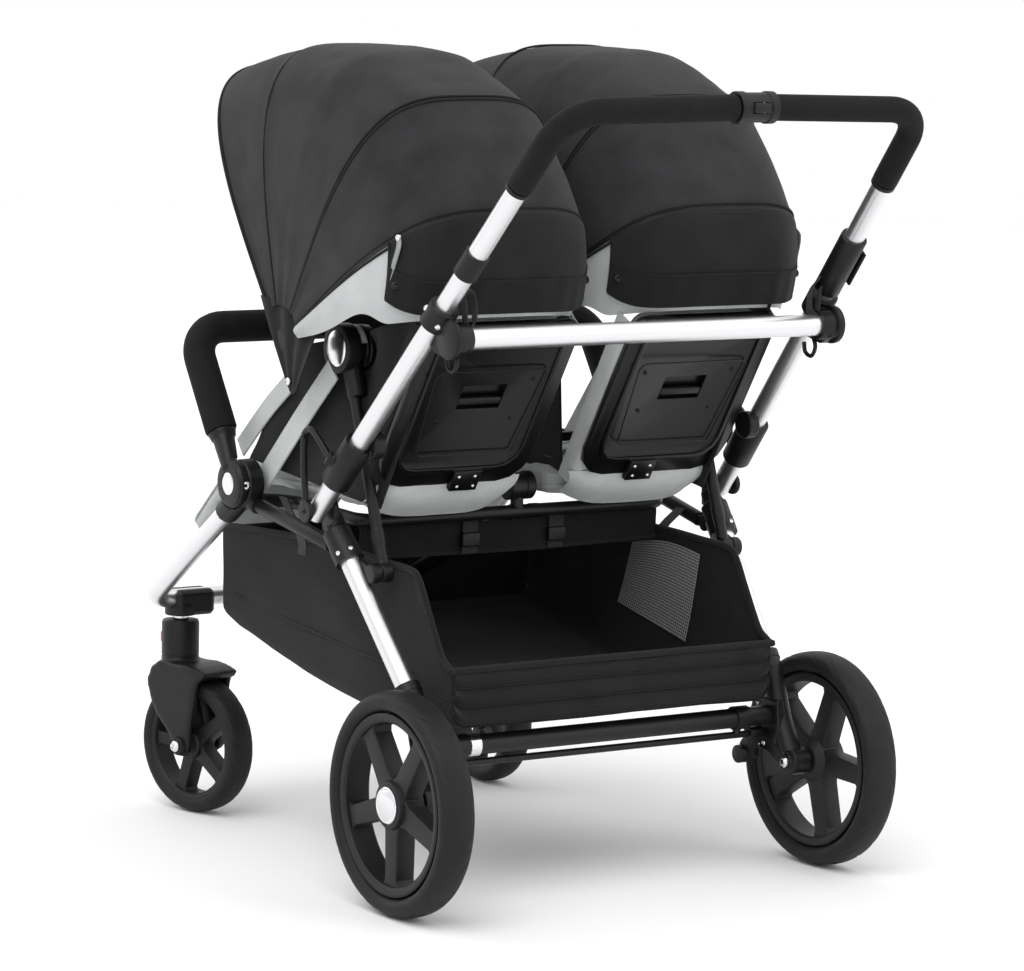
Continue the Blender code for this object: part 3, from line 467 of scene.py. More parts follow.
def ribbed_webbing(colour):
    """Flat polyester webbing: ribs across it every 1.6 mm and a tight selvedge."""
    material, shader = start_material("ribbed_webbing", colour, 0.72, Sheen_Weight=0.15)
    place = add_node(material, "ShaderNodeTexCoord")
    parts = add_node(material, "ShaderNodeSeparateXYZ", (), {"Vector": place.outputs["UV"]})
    count = add_node(
        material, "ShaderNodeMath", {1: math.tau / 0.0016}, {0: parts.outputs["Y"]}, operation="MULTIPLY")
    ribs = add_node(material, "ShaderNodeMath", (), {0: count.outputs[0]}, operation="SINE")
    vary(material, shader, colour, place.outputs["Object"], 0.02, 0.85, 1.2)
    bump(material, shader, ribs.outputs[0], 0.0003)
    return material


MATERIALS = {}


def make_materials():
    tint = bpy.context.scene.stroller_colours
    MATERIALS.update(
        # Satin anodised tube: fine draw lines blur the reflections a little
        aluminium=metal("satin_anodised_aluminium", tuple(tint.aluminium), 0.34, 900.0, 0.28, 0.40, 0.00004),
        # Chromed screw heads and caps
        chrome=metal("polished_steel", linear("#e3e3e6"), 0.16, 260.0, 0.12, 0.26),
        plastic=grained("glass_filled_polyamide", tuple(tint.plastic), 0.42, 0.0013, 0.00010, 0.05, 0.28),
        shell=grained("textured_polypropylene", tuple(tint.shell), 0.30, 0.0016, 0.00005, 0.08, 0.3),
        coat=grained("satin_powder_coat", linear("#141416"), 0.38, 0.0022, 0.00005),
        foam=grained("closed_cell_foam", tuple(tint.foam), 0.85, 0.0014, 0.00022, 0.02, 0.2),
        tyre=grained("tyre_compound", tuple(tint.tyre), 0.55, 0.0018, 0.00008, 0.04, 0.2),
        wheel=grained("moulded_nylon", tuple(tint.wheel), 0.5, 0.0015, 0.00010),
        grey_plastic=grained("pale_acetal", linear("#b4b7b8"), 0.45, 0.0015, 0.00006),
        button=grained("red_acetal", tuple(tint.button), 0.36, 0.0015, 0.00003, 0.05, 0.5),
        hood=woven("charcoal_polyester", tuple(tint.hood), 0.0024, 0.00010, math.radians(12.0), 0.05),
        hood_back=woven("dark_polyester", tuple(tint.hood_back), 0.0024, 0.00010, math.radians(12.0), 0.05),
        basket=woven(
            "black_twill", tuple(tint.basket), 0.0042, 0.00022, math.radians(38.0), 0.06, (0.8, 1.3)),
        seat=woven("grey_jersey", tuple(tint.seat), 0.0032, 0.00014, 0.0, 0.035, (0.94, 1.05)),
        net=knotted_net(linear("#a3a5a6"), 0.0046),
        webbing=ribbed_webbing(linear("#121214")),
        binding=woven("black_binding", linear("#0e0e0f"), 0.0020, 0.00010),
        pull=woven("grey_tape", linear("#8d9092"), 0.0018, 0.00010),
        zip=grained("zip_nylon", linear("#151516"), 0.4, 0.0012, 0.00005),
    )


# The looks that share each colour slot
SLOT_LOOKS = {
    "satin_aluminium": ("aluminium", "chrome"),
    "black_plastic": ("plastic", "shell", "grey_plastic", "zip"),
    "black_painted_tube": ("coat",),
    "dark_foam": ("foam",),
    "black_tyre": ("tyre",),
    "wheel_plastic": ("wheel",),
    "red_plastic": ("button",),
    "charcoal_cloth": ("hood", "hood_back"),
    "black_cloth": ("basket", "net", "webbing", "binding"),
    "grey_cloth": ("seat", "pull"),
}
SLOTS = {look: slot for slot, looks in SLOT_LOOKS.items() for look in looks}


# Shapes

def mesh_object(name, bm):
    mesh = bpy.data.meshes.new(name)
    bm.to_mesh(mesh)
    bm.free()
    obj = bpy.data.objects.new(name, mesh)
    bpy.context.scene.collection.objects.link(obj)
    return obj


def applied(obj):
    """Bakes an object's modifiers and its place into a plain mesh at the origin."""
    bpy.context.view_layer.update()
    graph = bpy.context.evaluated_depsgraph_get()
    mesh = bpy.data.meshes.new_from_object(obj.evaluated_get(graph))
    mesh.transform(obj.matrix_world)
    name = obj.name
    bpy.data.objects.remove(obj, do_unlink=True)
    new = bpy.data.objects.new(name, mesh)
    bpy.context.scene.collection.objects.link(new)
    return new


def dress(obj, look, body, nodes=(), angle=35.0, bend=None):
    """Gives a finished piece its material, its body, its slot and the nodes that it stands for.

    With bend, a start and an end point, the piece bends from the chassis at the start to its body at
    the end.
    """
    obj.data.materials.clear()
    obj.data.materials.append(MATERIALS[look])
    obj.data.shade_smooth()
    obj.data.set_sharp_from_angle(angle=math.radians(angle))
    if bend:
        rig.blend(obj, "chassis", body, *bend)
    else:
        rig.ride(obj, body)
    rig.slot(obj, SLOTS[look])
    if nodes:
        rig.replaces(obj, *nodes)
    return obj


def body_of(node):
    return frame["nodes"][node]["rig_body"]


def moved(obj, matrix):
    obj.data.transform(matrix)
    return obj


def cut_out(obj, cutter):
    """Cuts one shape's space out of another, and drops the cutter."""
    cut = obj.modifiers.new("cut", "BOOLEAN")
    cut.operation = "DIFFERENCE"
    cut.object = cutter
    obj = applied(obj)
    bpy.data.objects.remove(cutter, do_unlink=True)
    return obj


def joined(name, objects):
    """One piece from several shapes."""
    bm = bmesh.new()
    for obj in objects:
        bm.from_mesh(obj.data)
        bpy.data.objects.remove(obj, do_unlink=True)
    return mesh_object(name, bm)


def sweep(name, points, radius, sides=24, radii=None):
    """A round tube along a line, with closed ends."""
    curve = bpy.data.curves.new(name, "CURVE")
    curve.dimensions = "3D"
    curve.bevel_depth = radius
    curve.bevel_resolution = (sides - 4) // 2
    curve.use_fill_caps = True
    spline = curve.splines.new("POLY")
    spline.points.add(len(points) - 1)
    for index, point in enumerate(points):
        spline.points[index].co = (*point, 1.0)
        spline.points[index].radius = radii[index] / radius if radii else 1.0
    obj = bpy.data.objects.new(name, curve)
    bpy.context.scene.collection.objects.link(obj)
    obj = applied(obj)
    bm = bmesh.new()
    bm.from_mesh(obj.data)
    bmesh.ops.remove_doubles(bm, verts=bm.verts, dist=WELD)
    bmesh.ops.recalc_face_normals(bm, faces=bm.faces)
    bm.to_mesh(obj.data)
    bm.free()
    return obj


def rounded_path(corners, radius, steps=10):
    """Straight runs with each inner corner replaced by an arc."""
    points = [Vector(corners[0])]
    for before, corner, after in zip(corners, corners[1:], corners[2:]):
        corner = Vector(corner)
        arrive = (Vector(before) - corner).normalized()
        leave = (Vector(after) - corner).normalized()
        half = arrive.angle(leave) / 2
        reach = radius / math.tan(half)
        middle = corner + (arrive + leave).normalized() * (radius / math.sin(half))
        start = corner + arrive * reach
        normal = leave.cross(arrive).normalized()
        for step in range(steps + 1):
            turn = Matrix.Rotation((math.pi - 2 * half) * step / steps, 3, normal)
            points.append(middle + turn @ (start - middle))
    points.append(Vector(corners[-1]))
    return points


def smooth_line(points, count):
    """A curve through a few points, by Catmull-Rom spans."""
    points = [Vector(point) for point in points]
    ends = [points[0] * 2 - points[1]] + points + [points[-1] * 2 - points[-2]]
    spans = len(points) - 1
    line = []
    for index in range(count + 1):
        place = min(index * spans / count, spans - 1e-9)
        span = int(place)
        t = place - span
        a, b, c, d = ends[span:span + 4]
        line.append(0.5 * (
            2 * b + (c - a) * t + (2 * a - 5 * b + 4 * c - d) * t ** 2 + (3 * b - a - 3 * c + d) * t ** 3))
    return line


def lathe(name, profile, centre, axis=X_AXIS, steps=64, closed=False):
    """A profile of (along the axis, radius) pairs spun about the axis through the centre."""
    bm = bmesh.new()
    verts = [bm.verts.new((radius, 0.0, along)) for along, radius in profile]
    pairs = list(zip(verts, verts[1:]))
    if closed:
        pairs.append((verts[-1], verts[0]))
    edges = [bm.edges.new(pair) for pair in pairs]
    bmesh.ops.spin(
        bm, geom=verts + edges, cent=(0, 0, 0), axis=(0, 0, 1), dvec=(0, 0, 0), angle=math.tau, steps=steps,
        use_merge=True, use_duplicate=False)
    bmesh.ops.remove_doubles(bm, verts=bm.verts, dist=WELD)
    bmesh.ops.recalc_face_normals(bm, faces=bm.faces)
    turn = Z_AXIS.rotation_difference(Vector(axis)).to_matrix().to_4x4()
    bmesh.ops.transform(bm, matrix=Matrix.Translation(centre) @ turn, verts=bm.verts)
    return mesh_object(name, bm)


def cloth_grid(name, columns, rows, surface, size, thickness):
    """A grid of cloth laid on surface(u, v), with a UV map in metres and one thickness."""
    bm = bmesh.new()
    bmesh.ops.create_grid(bm, x_segments=columns, y_segments=rows, size=0.5, calc_uvs=True)
    uv = bm.loops.layers.uv.verify()
    for face in bm.faces:
        for corner in face.loops:
            corner[uv].uv = ((corner.vert.co.x + 0.5) * size[0], (corner.vert.co.y + 0.5) * size[1])
    for vert in bm.verts:
        vert.co = surface(vert.co.x + 0.5, vert.co.y + 0.5)
    obj = mesh_object(name, bm)
    wall = obj.modifiers.new("cloth", "SOLIDIFY")
    wall.thickness = thickness
    wall.offset = 0.0
    return applied(obj)


def strap(name, points, width, across, thickness=0.0012):
    """Webbing along a line, lying across a direction."""
    line = smooth_line(points, 12 * (len(points) - 1))
    length = path_length(line)
    across = Vector(across).normalized()

    def surface(u, v):
        place = v * (len(line) - 1)
        low = min(int(place), len(line) - 2)
        return line[low].lerp(line[low + 1], place - low) + across * (u - 0.5) * width

    return cloth_grid(name, 4, len(line) - 1, surface, (width, length), thickness)


def area_of(obj):
    return sum(face.area for face in obj.data.polygons)


def declare_sheet(obj, size, held, rests_on):
    """Declares cloth with the area of one of its two faces."""
    flat_area = min(area_of(obj) / 2, size[0] * size[1])
    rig.sheet(obj, flat=size, held=held, rests_on=rests_on, area=max(flat_area, 0.31 * size[0] * size[1]))


def cloth_piece(
        name, look, grid, surface, size, thickness, held, rests_on, body="chassis", nodes=(), bend=None):
    """Cloth laid on surface(u, v) with a grid's columns and rows, declared with its flat size."""
    cloth = cloth_grid(name, *grid, surface, size, thickness)
    dress(cloth, look, body, nodes, 60.0, bend)
    declare_sheet(cloth, size, held, [rests_on])
    return cloth


def strap_piece(
        name, look, points, width, across, held, rests_on, body="chassis", thickness=0.0012, length=None):
    """Webbing along a line, declared with its flat size."""
    band = strap(name, points, width, across, thickness)
    dress(band, look, body, (), 60.0)
    declare_sheet(band, (width, length or path_length(points)), held, [rests_on])
    return band


def bead(name, line, radius, look, body, sides=10, angle=35.0, bend=None):
    """A round bead, bar or wire along a line."""
    return dress(sweep(name, line, radius, sides), look, body, (), angle, bend)


def turned(name, profile, centre, axis, look, body, steps, closed=False, angle=35.0):
    """A piece turned from a profile."""
    return dress(lathe(name, profile, centre, axis, steps, closed), look, body, (), angle)


def disc(name, profile, centre, side, look, body, angle=30.0):
    return turned(name, profile, centre, X_AXIS * side, look, body, HUB_STEPS, False, angle)


def block(name, size, place, rounding=0.0, segments=3):
    """A box, with rounded edges where asked."""
    bm = bmesh.new()
    bmesh.ops.create_cube(bm, size=1.0)
    bmesh.ops.scale(bm, vec=size, verts=bm.verts)
    if rounding:
        bmesh.ops.bevel(
            bm, geom=bm.edges[:], offset=rounding, segments=segments, affect="EDGES", profile=0.5,
            material=-1)
    bmesh.ops.translate(bm, vec=place, verts=bm.verts)
    return mesh_object(name, bm)


def cad_copy(node):
    """A copy of the model's own solid, with its corners merged."""
    bm = bmesh.new()
    bm.from_mesh(frame["nodes"][node].data)
    bmesh.ops.remove_doubles(bm, verts=bm.verts, dist=WELD)
    return bm


def voxelled(obj, voxel):
    skin = obj.modifiers.new("skin", "REMESH")
    skin.mode = "VOXEL"
    skin.voxel_size = voxel
    return obj


def softened(node, look, bevel=0.0009, angle=34.0):
    """A machined or stamped piece: the model's own solid with merged faces and rounded edges."""
    bm = cad_copy(node)
    bmesh.ops.dissolve_limit(bm, angle_limit=math.radians(1.0), verts=bm.verts, edges=bm.edges)
    obj = mesh_object(node + "_part", bm)
    edge = obj.modifiers.new("rounded edges", "BEVEL")
    edge.width = bevel
    edge.segments = 2
    edge.limit_method = "ANGLE"
    edge.angle_limit = math.radians(38.0)
    return dress(applied(obj), look, body_of(node), [node], angle)


def moulded(node, look, voxel=0.0016, rounds=5):
    """A moulded piece: the model's own solid with all its edges melted round."""
    obj = voxelled(mesh_object(node + "_part", cad_copy(node)), voxel)
    melt = obj.modifiers.new("melt", "SMOOTH")
    melt.factor = 0.5
    melt.iterations = rounds
    return dress(applied(obj), look, body_of(node), [node], 180.0)


def screws(name, places, radius, body, look="chrome"):
    """Domed screw heads with a socket, each at (centre, axis)."""
    profile = [(radius * along, radius * reach) for along, reach in (
        (-0.9, 0.62), (0.0, 1.0), (0.22, 0.97), (0.5, 0.72), (0.58, 0.45), (0.22, 0.40), (0.18, 0.0))]
    heads = [lathe(name, profile, centre, axis, 20) for centre, axis in places]
    return dress(joined(name, heads), look, body, (), 30.0)


# Wheels

BIG_RADIUS = 0.152


def tyre_ring(name, radius, half_width, steps, turn, centre, pitches, depth):
    """A round-shouldered tyre whose shoulders carry short curved lines."""
    middle = radius - 0.0145 * half_width / 0.0255
    height = radius - middle
    around = 48
    profile = []
    for index in range(around + 1):
        phi = math.radians(-150.0 + 300.0 * index / around)
        across = math.copysign(abs(math.sin(phi)) ** 0.8, math.sin(phi))
        up = math.copysign(abs(math.cos(phi)) ** 0.8, math.cos(phi))
        profile.append((half_width * across, middle + height * up))
    ring = lathe(name, profile, ORIGIN, X_AXIS, steps, True)
    pitch = math.tau / pitches
    for vert in ring.data.vertices:
        reach = math.hypot(vert.co.y, vert.co.z)
        phi = math.atan2(abs(vert.co.x) / half_width, (reach - middle) / height)
        if 0.25 < phi < 1.45 and reach > middle:
            swirl = 0.24 * (phi - 0.25) + 0.10 * (phi - 0.25) ** 2
            theta = math.atan2(vert.co.y, vert.co.z) + swirl
            wave = (theta / pitch + (0.5 if vert.co.x > 0 else 0.0)) % 1.0
            line = max(0.0, 1.0 - abs(wave - 0.5) / 0.11)
            fade = min(1.0, (phi - 0.25) / 0.2, (1.45 - phi) / 0.2)
            shrink = 1.0 - depth * line * fade / reach
            vert.co.y *= shrink
            vert.co.z *= shrink
    ring.data.transform(Matrix.Translation(centre) @ Matrix.Rotation(turn, 4, "Z"))
    return ring


def spoke(radius, hub_reach, rim_reach, wide, thick, angle):
    """One tapering spoke that flares into the hub and the rim."""
    bm = bmesh.new()
    bmesh.ops.create_grid(bm, x_segments=2, y_segments=14, size=0.5)
    for vert in bm.verts:
        v = vert.co.y + 0.5
        reach = hub_reach + (rim_reach - hub_reach) * v
        flare = 1.0 - 0.14 * v + 0.55 * max(0.0, v - 0.86) / 0.14 + 0.25 * max(0.0, 0.12 - v) / 0.12
        vert.co = (thick / 2, vert.co.x * wide * flare, reach)
    bmesh.ops.recalc_face_normals(bm, faces=bm.faces)
    sheet = bmesh.ops.extrude_face_region(bm, geom=bm.faces[:])
    far = [part for part in sheet["geom"] if isinstance(part, bmesh.types.BMVert)]
    bmesh.ops.translate(bm, vec=(-thick, 0.0, 0.0), verts=far)
    bmesh.ops.recalc_face_normals(bm, faces=bm.faces)
    sharp = [edge for edge in bm.edges if edge.is_manifold and edge.calc_face_angle(0.0) > 0.8]
    bmesh.ops.bevel(
        bm, geom=sharp, offset=0.0022 * radius / BIG_RADIUS, segments=3, affect="EDGES", profile=0.5,
        material=-1)
    bmesh.ops.transform(bm, matrix=Matrix.Rotation(angle, 4, "X"), verts=bm.verts)
    return mesh_object("spoke", bm)


def wheel_set(place, side, big):
    """Tyre, spoked wheel and metal cap of one wheel, set where its nodes are."""
    end = "rear" if big else "front"
    tyre_node = "%s_tyre_%s" % (end, place)
    wheel_node = "%s_wheel_%s" % (end, place)
    radius, half_width, steps, pitches = (BIG_RADIUS, 0.0255, 420, 20) if big else (0.102, 0.0225, 320, 16)
    low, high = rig.box(tyre_node)
    centre = (low + high) / 2
    centre.z = radius
    scale = radius / BIG_RADIUS
    body = body_of(wheel_node)
    if big:
        turn = 0.0 if side > 0 else math.pi
        phase = 0.0 if side > 0 else math.radians(15.0)
    else:
        turn = CASTER_TURN[place]
        phase = -math.radians(18.0)
    if big and side < 0:
        phase = -phase
    sipe = bpy.context.scene.stroller_sizes.sipe
    ring = tyre_ring(tyre_node + "_tread", radius, half_width, steps, turn, centre, pitches, sipe)
    dress(ring, "tyre", body, [tyre_node], 50.0)

    seat = radius - 0.0290 * scale
    inner = seat - 0.0125 * scale
    wide = half_width * 0.80
    rim = doubled([
        (wide, seat), (wide + 0.0012, seat - 0.003 * scale), (wide, inner + 0.003 * scale),
        (wide * 0.86, inner)])
    barrel = half_width * 0.93
    hub = [(barrel * along, scale * reach) for along, reach in (
        (-1.0, 0.0), (-1.0, 0.021), (-0.93, 0.0235), (-0.7, 0.030), (-0.55, 0.034), (0.55, 0.034),
        (0.86, 0.0315), (0.93, 0.0285), (0.93, 0.0262), (0.88, 0.0255), (0.88, 0.0))]
    shapes = [lathe("rim", rim, ORIGIN, X_AXIS, 120, True), lathe("hub", hub, ORIGIN, X_AXIS, 64)]
    for index in range(5):
        angle = math.tau * index / 5 + math.pi + phase
        shapes.append(spoke(radius, 0.026 * scale, inner + 0.003, 0.032 * scale, half_width * 1.15, angle))
    stand = Matrix.Translation(centre) @ Matrix.Rotation(turn, 4, "Z")
    dress(moved(joined(wheel_node + "_spokes", shapes), stand), "wheel", body, [wheel_node], 32.0)
    if big:
        cap = [
            (barrel * 0.80, 0.0250), (barrel * 0.97, 0.0250), (barrel * 1.02, 0.0236),
            (barrel * 0.99, 0.0205), (barrel * 1.01, 0.0195), (half_width * 0.995, 0.008),
            (half_width * 0.995, 0.0)]
        dress(moved(lathe(wheel_node + "_cap", cap, ORIGIN, X_AXIS, 64), stand), "chrome", body, (), 25.0)


class STROLLER_OT_wheels(bpy.types.Operator):
    """Makes the four wheels with their tyres and hub caps"""
    bl_idname = "stroller.wheels"
    bl_label = "Wheels"

    def execute(self, context):
        for place, side in SIDES.items():
            wheel_set(place, side, True)
            wheel_set(place, side, False)
        return {"FINISHED"}


# Tubes

def rod(name, start, end, radius, look, body, nodes=(), sides=32):
    return dress(sweep(name, [start, end], radius, sides), look, body, nodes, 40.0)


class STROLLER_OT_tubes(bpy.types.Operator):
    """Makes the aluminium tubes and the black painted tubes of the frame"""
    bl_idname = "stroller.tubes"
    bl_label = "Tubes"

    def execute(self, context):
        half = [at(FRONT_TUBE_TOP), at(FRONT_TUBE_CORNER)]
        front = sweep("front_tube_bent", rounded_path(half + mirrored(half), 0.045, 14), TUBE_RADIUS, 32)
        dress(front, "aluminium", "chassis", ["front_tube"], 40.0)
        for place, side in SIDES.items():
            low, high = on_handle(side, -0.010), on_handle(side, GRIP_START - 0.0003)
            rod("handle_tube_%s_drawn" % place, low, high, TUBE_RADIUS, "aluminium", "handle",
                ["handle_tube_" + place])
            low, high = on_side(side, LEG_TOP + LEG_RUN * 0.030), on_side(side, LEG_LOW - LEG_RUN * 0.012)
            rod("rear_leg_%s_drawn" % place, low, high, TUBE_RADIUS, "aluminium", "rear_legs",
                ["rear_leg_" + place])
            softened("side_link_" + place, "coat", 0.0006)
        half_bar = Vector((0.294, 0.0, 0.0))
        rod("crossbar_drawn", at(CROSSBAR - half_bar), at(CROSSBAR + half_bar), 0.015, "aluminium", "handle",
            ["crossbar"])
        self.seat_frame()
        self.axle()
        return {"FINISHED"}

    def seat_frame(self):
        """The bent tube under the seats, the strut below it and the drum between the seats."""
        half = [at(point) for point in (
            (0.3095, -0.449, 0.5040), (0.2560, -0.449, 0.4980), (0.2560, -0.262, 0.4930))]
        strut = [at(point) for point in ((0, -0.2620, 0.4970), (0, -0.590, 0.3420), (0, -0.7515, 0.3190))]
        drum = doubled([(0.021, 0.0), (0.021, 0.018), (0.019, 0.020), (0.006, 0.020), (0.005, 0.0185)])
        shapes = [
            sweep("tube", rounded_path(half + mirrored(half), 0.030, 10), 0.0095, 20),
            sweep("strut", rounded_path(strut, 0.12, 10), 0.0110, 20),
            lathe("drum", drum, at((0.0, -0.262, 0.530)), X_AXIS, 40),
            sweep("neck", [at((0.0, -0.263, 0.495)), at((0.0, -0.264, 0.522))], 0.0095, 16)]
        dress(joined("seat_frame_welded", shapes), "coat", "chassis", ["seat_frame"], 40.0)

    def axle(self):
        """The rear axle with its collars, the brake rod under it and its bare end."""
        half_axle = 0.2837
        half = [(half_axle, 0.0), (half_axle, 0.0140), (0.249, 0.0140), (0.248, 0.0168), (0.225, 0.0168),
                (0.224, 0.0140)]
        shapes = [
            lathe("axle", doubled(half), at(REAR_AXLE_TUBE), X_AXIS, 40),
            sweep("rod", [at((x, -0.046, 0.1875)) for x in (-half_axle, half_axle)], 0.0050, 16)]
        shapes += [
            sweep("hanger", [at((x, -0.043, 0.203)), at((x, -0.0455, 0.190))], 0.0058, 12)
            for x in (-0.236, 0.236)]
        dress(joined("rear_axle_painted", shapes), "coat", "rear_legs", ["rear_axle"], 40.0)
        bush = sleeve(0.2055, 0.2235, 0.0139, 0.0160, 0.0010, 0.0010)
        turned("axle_bush", bush, at(REAR_AXLE_TUBE), X_AXIS, "chrome", "rear_legs", 40, True, 30.0)


# Foam

class STROLLER_OT_foam(bpy.types.Operator):
    """Makes the foam of the handle and of the bumper bar"""
    bl_idname = "stroller.foam"
    bl_label = "Foam"

    def execute(self, context):
        crest = at(HANDLE_CREST)
        half = [on_handle(1.0, GRIP_START), on_handle(1.0, GRIP_START + 0.134)]
        path = rounded_path(half + [crest] + mirrored(half), 0.062, 14)
        ring = [(-0.0005, 0.0141), (-0.0005, 0.0172), (0.0045, 0.0172), (0.0050, 0.0166), (0.0050, 0.0141)]
        for place, side in SIDES.items():
            line = [point for point in path if point.x * side > 0.0315]
            if side < 0:
                line.reverse()
            line.append(Vector((side * 0.0308, crest.y, crest.z)))
            line.insert(1, line[0] + (line[1] - line[0]).normalized() * 0.0025)
            radii = [0.0160] + [0.0175] * (len(line) - 1)
            foam = sweep("grip_foam_" + place, line, 0.0175, 36, radii)
            dress(foam, "foam", "handle", ["handle_grip"], 50.0)
            start, slope = on_handle(side, GRIP_START - 0.006), handle_slope(side)
            turned("grip_ring_" + place, ring, start, slope, "plastic", "handle", 40, True, 40.0)
        half = [at(point) for point in (
            (0.3420, -0.5080, 0.5960), (0.3430, -0.5450, 0.6550), (0.3430, -0.5980, 0.7350))]
        line = rounded_path(half + mirrored(half), 0.052, 12)
        line.insert(1, line[0] + (line[1] - line[0]).normalized() * 0.003)
        line.insert(len(line) - 1, line[-1] + (line[-2] - line[-1]).normalized() * 0.003)
        radii = [0.0215] + [0.0230] * (len(line) - 2) + [0.0215]
        bar = sweep("bumper_foam", line, 0.0230, 40, radii)
        self.crease(bar)
        dress(bar, "foam", "bumper", ["bumper_bar"], 50.0)
        return {"FINISHED"}

    def crease(self, bar):
        """Shallow folds round the inside of the two bends."""
        for vert in bar.data.vertices:
            bend = max(0.0, 1.0 - abs(abs(vert.co.x) - 0.325) / 0.03)
            vert.co.z += ripple(0.0008, vert.co.x * 90.0, vert.co.z * 160.0, 3.0) * bend


# Mouldings

class STROLLER_OT_mouldings(bpy.types.Operator):
    """Makes the joints, hubs, brackets and forks, with their screws and caps"""
    bl_idname = "stroller.mouldings"
    bl_label = "Mouldings"

    def execute(self, context):
        for place, side in SIDES.items():
            self.front(place, side)
            self.dial(place, side)
            self.castor(place, side)
            self.legs(place, side)
            self.handle(place, side)
            self.posts(place, side)
        for node, look, bevel in (
                ("brake_pedal", "plastic", 0.0012), ("latch_housing", "plastic", 0.0012),
                ("latch_lever", "plastic", 0.0012), ("handle_button", "wheel", 0.0008)):
            softened(node, look, bevel)
        self.clasp()
        return {"FINISHED"}

    def front(self, place, side):
        moulded("front_hub_" + place, "plastic")
        moulded("bumper_socket_" + place, "plastic")
        moulded("caster_bracket_" + place, "plastic", 0.0016, 4)
        moulded("fork_" + place, "plastic", 0.0026, 30)
        softened("swivel_lock_" + place, "button", 0.0012)

    def dial(self, place, side):
        """The bumper's round cover with its marks, chromed cap and screw."""
        hub = on_side(side, FRONT_HUB)
        face = [(0.0175, 0.0330), (0.0195, 0.0318), (0.0204, 0.0290), (0.0204, 0.0185), (0.0196, 0.0178),
                (0.0196, 0.0165), (0.0190, 0.0)]
        disc("bumper_dial_" + place, face, hub, side, "plastic", "bumper")
        cap = [(0.0190, 0.0160), (0.0208, 0.0158), (0.0219, 0.0135), (0.0224, 0.0)]
        disc("bumper_cap_" + place, cap, hub, side, "chrome", "bumper", 20.0)
        ticks = []
        for index in range(9):
            angle = math.radians(-40.0 + 35.0 * index)
            line = [hub + Vector((side * 0.0203, math.cos(angle) * reach, math.sin(angle) * reach))
                    for reach in (0.0235, 0.0275)]
            ticks.append(sweep("tick", line, 0.0007, 8))
        dress(joined("bumper_marks_" + place, ticks), "zip", "bumper")
        low = on_side(side, (0.3500, -0.4235, 0.5290))
        screws("bumper_screw_" + place, [(low, Vector((side * 0.5, 0.86, 0.0)))], 0.0062, "bumper")

    def castor(self, place, side):
        """Cover of the castor's stem with room for the red button, its pin, and the wheel's nuts."""
        stem = Matrix.Translation(on_side(side, CASTER)) @ Matrix.Rotation(CASTER_TURN[place], 4, "Z")
        body = body_of("fork_" + place)
        top = [(0.196, 0.0265), (0.199, 0.0279), (0.2290, 0.0279), (0.2298, 0.0272), (0.2310, 0.0272),
               (0.2318, 0.0279), (0.2790, 0.0279), (0.2828, 0.0262), (0.2836, 0.0130), (0.2836, 0.0)]
        cover = lathe("stem_cover_" + place, top, ORIGIN, Z_AXIS, HUB_STEPS)
        room = block("button_room", (0.0122, 0.020, 0.0272), (side * 0.012, -0.0290, 0.2600))
        dress(moved(cut_out(cover, room), stem), "plastic", body, (), 30.0)
        pin = [(0.2836, 0.0), (0.2836, 0.0096), (0.2895, 0.0096), (0.2895, 0.0)]
        dress(moved(lathe("stem_pin_" + place, pin, ORIGIN, Z_AXIS, 32), stem), "chrome", body)
        boss = [(0.0270, 0.0), (0.0270, 0.0150), (0.0405, 0.0140), (0.0440, 0.0120), (0.0446, 0.0)]
        hub = Vector((0.0, 0.040, 0.102))
        for name, sign in (("a", -1.0), ("b", 1.0)):
            end = lathe("fork_boss_%s_%s" % (name, place), boss, ORIGIN, X_AXIS * sign, 40)
            dress(moved(end, stem @ Matrix.Translation(hub)), "plastic", body)
        turn = stem.to_3x3()
        nuts = [(stem @ (hub + X_AXIS * 0.0455 * sign), turn @ X_AXIS * sign) for sign in (1.0, -1.0)]
        screws("fork_nut_" + place, nuts, 0.0085, body)

    def legs(self, place, side):
        moulded("leg_joint_" + place, "plastic", 0.0015, 4)
        moulded("rear_foot_" + place, "plastic", 0.0016, 4)
        out = X_AXIS * side
        arm = smooth_line([on_side(side, point) for point in (
            LEG_LOW - LEG_RUN * 0.014, LEG_LOW + LEG_RUN * 0.008, (0.3000, -0.0400, 0.2440),
            (0.3005, -0.0240, 0.2020), (0.3020, -0.0050, 0.1640))], 28)
        widths = [
            0.0186 - 0.0032 * min(1.0, k / 14.0) + 0.0010 * max(0.0, (k - 20) / 8.0) for k in range(29)]
        dress(sweep("rear_foot_%s_arm" % place, arm, 0.016, 28, widths), "plastic", "rear_legs", (), 50.0)
        for name, end, first, last, radius in (
                ("rear_foot_%s_collar", LEG_LOW, -0.0165, -0.004, 0.0192),
                ("leg_clamp_%s", LEG_TOP, 0.022, 0.0466, 0.0206)):
            line = [on_side(side, end + LEG_RUN * along) for along in (first, last)]
            bead(name % place, line, radius, "plastic", "rear_legs", 32)
        screws("axle_nut_" + place, [(at((side * 0.2885, 0.0, 0.152)), -out)], 0.0085, "rear_legs")
        back = Vector((0.0, 0.776, 0.631))
        aside = back * 0.4 + out * 0.9
        mid = on_side(side, LEG_TOP + LEG_RUN * 0.036)
        heads = [(mid + back * 0.0200 + out * 0.004, back), (mid + aside.normalized() * 0.0200, aside)]
        screws("clamp_screws_" + place, heads, 0.0036, "rear_legs")
        bolts = [(on_side(side, (0.2840, y, z)), -out) for y, z in (
            (-0.0600, 0.2280), (-0.0560, 0.1700), (-0.0440, 0.1720))]
        screws("axle_bolts_" + place, bolts, 0.0034, "rear_legs")

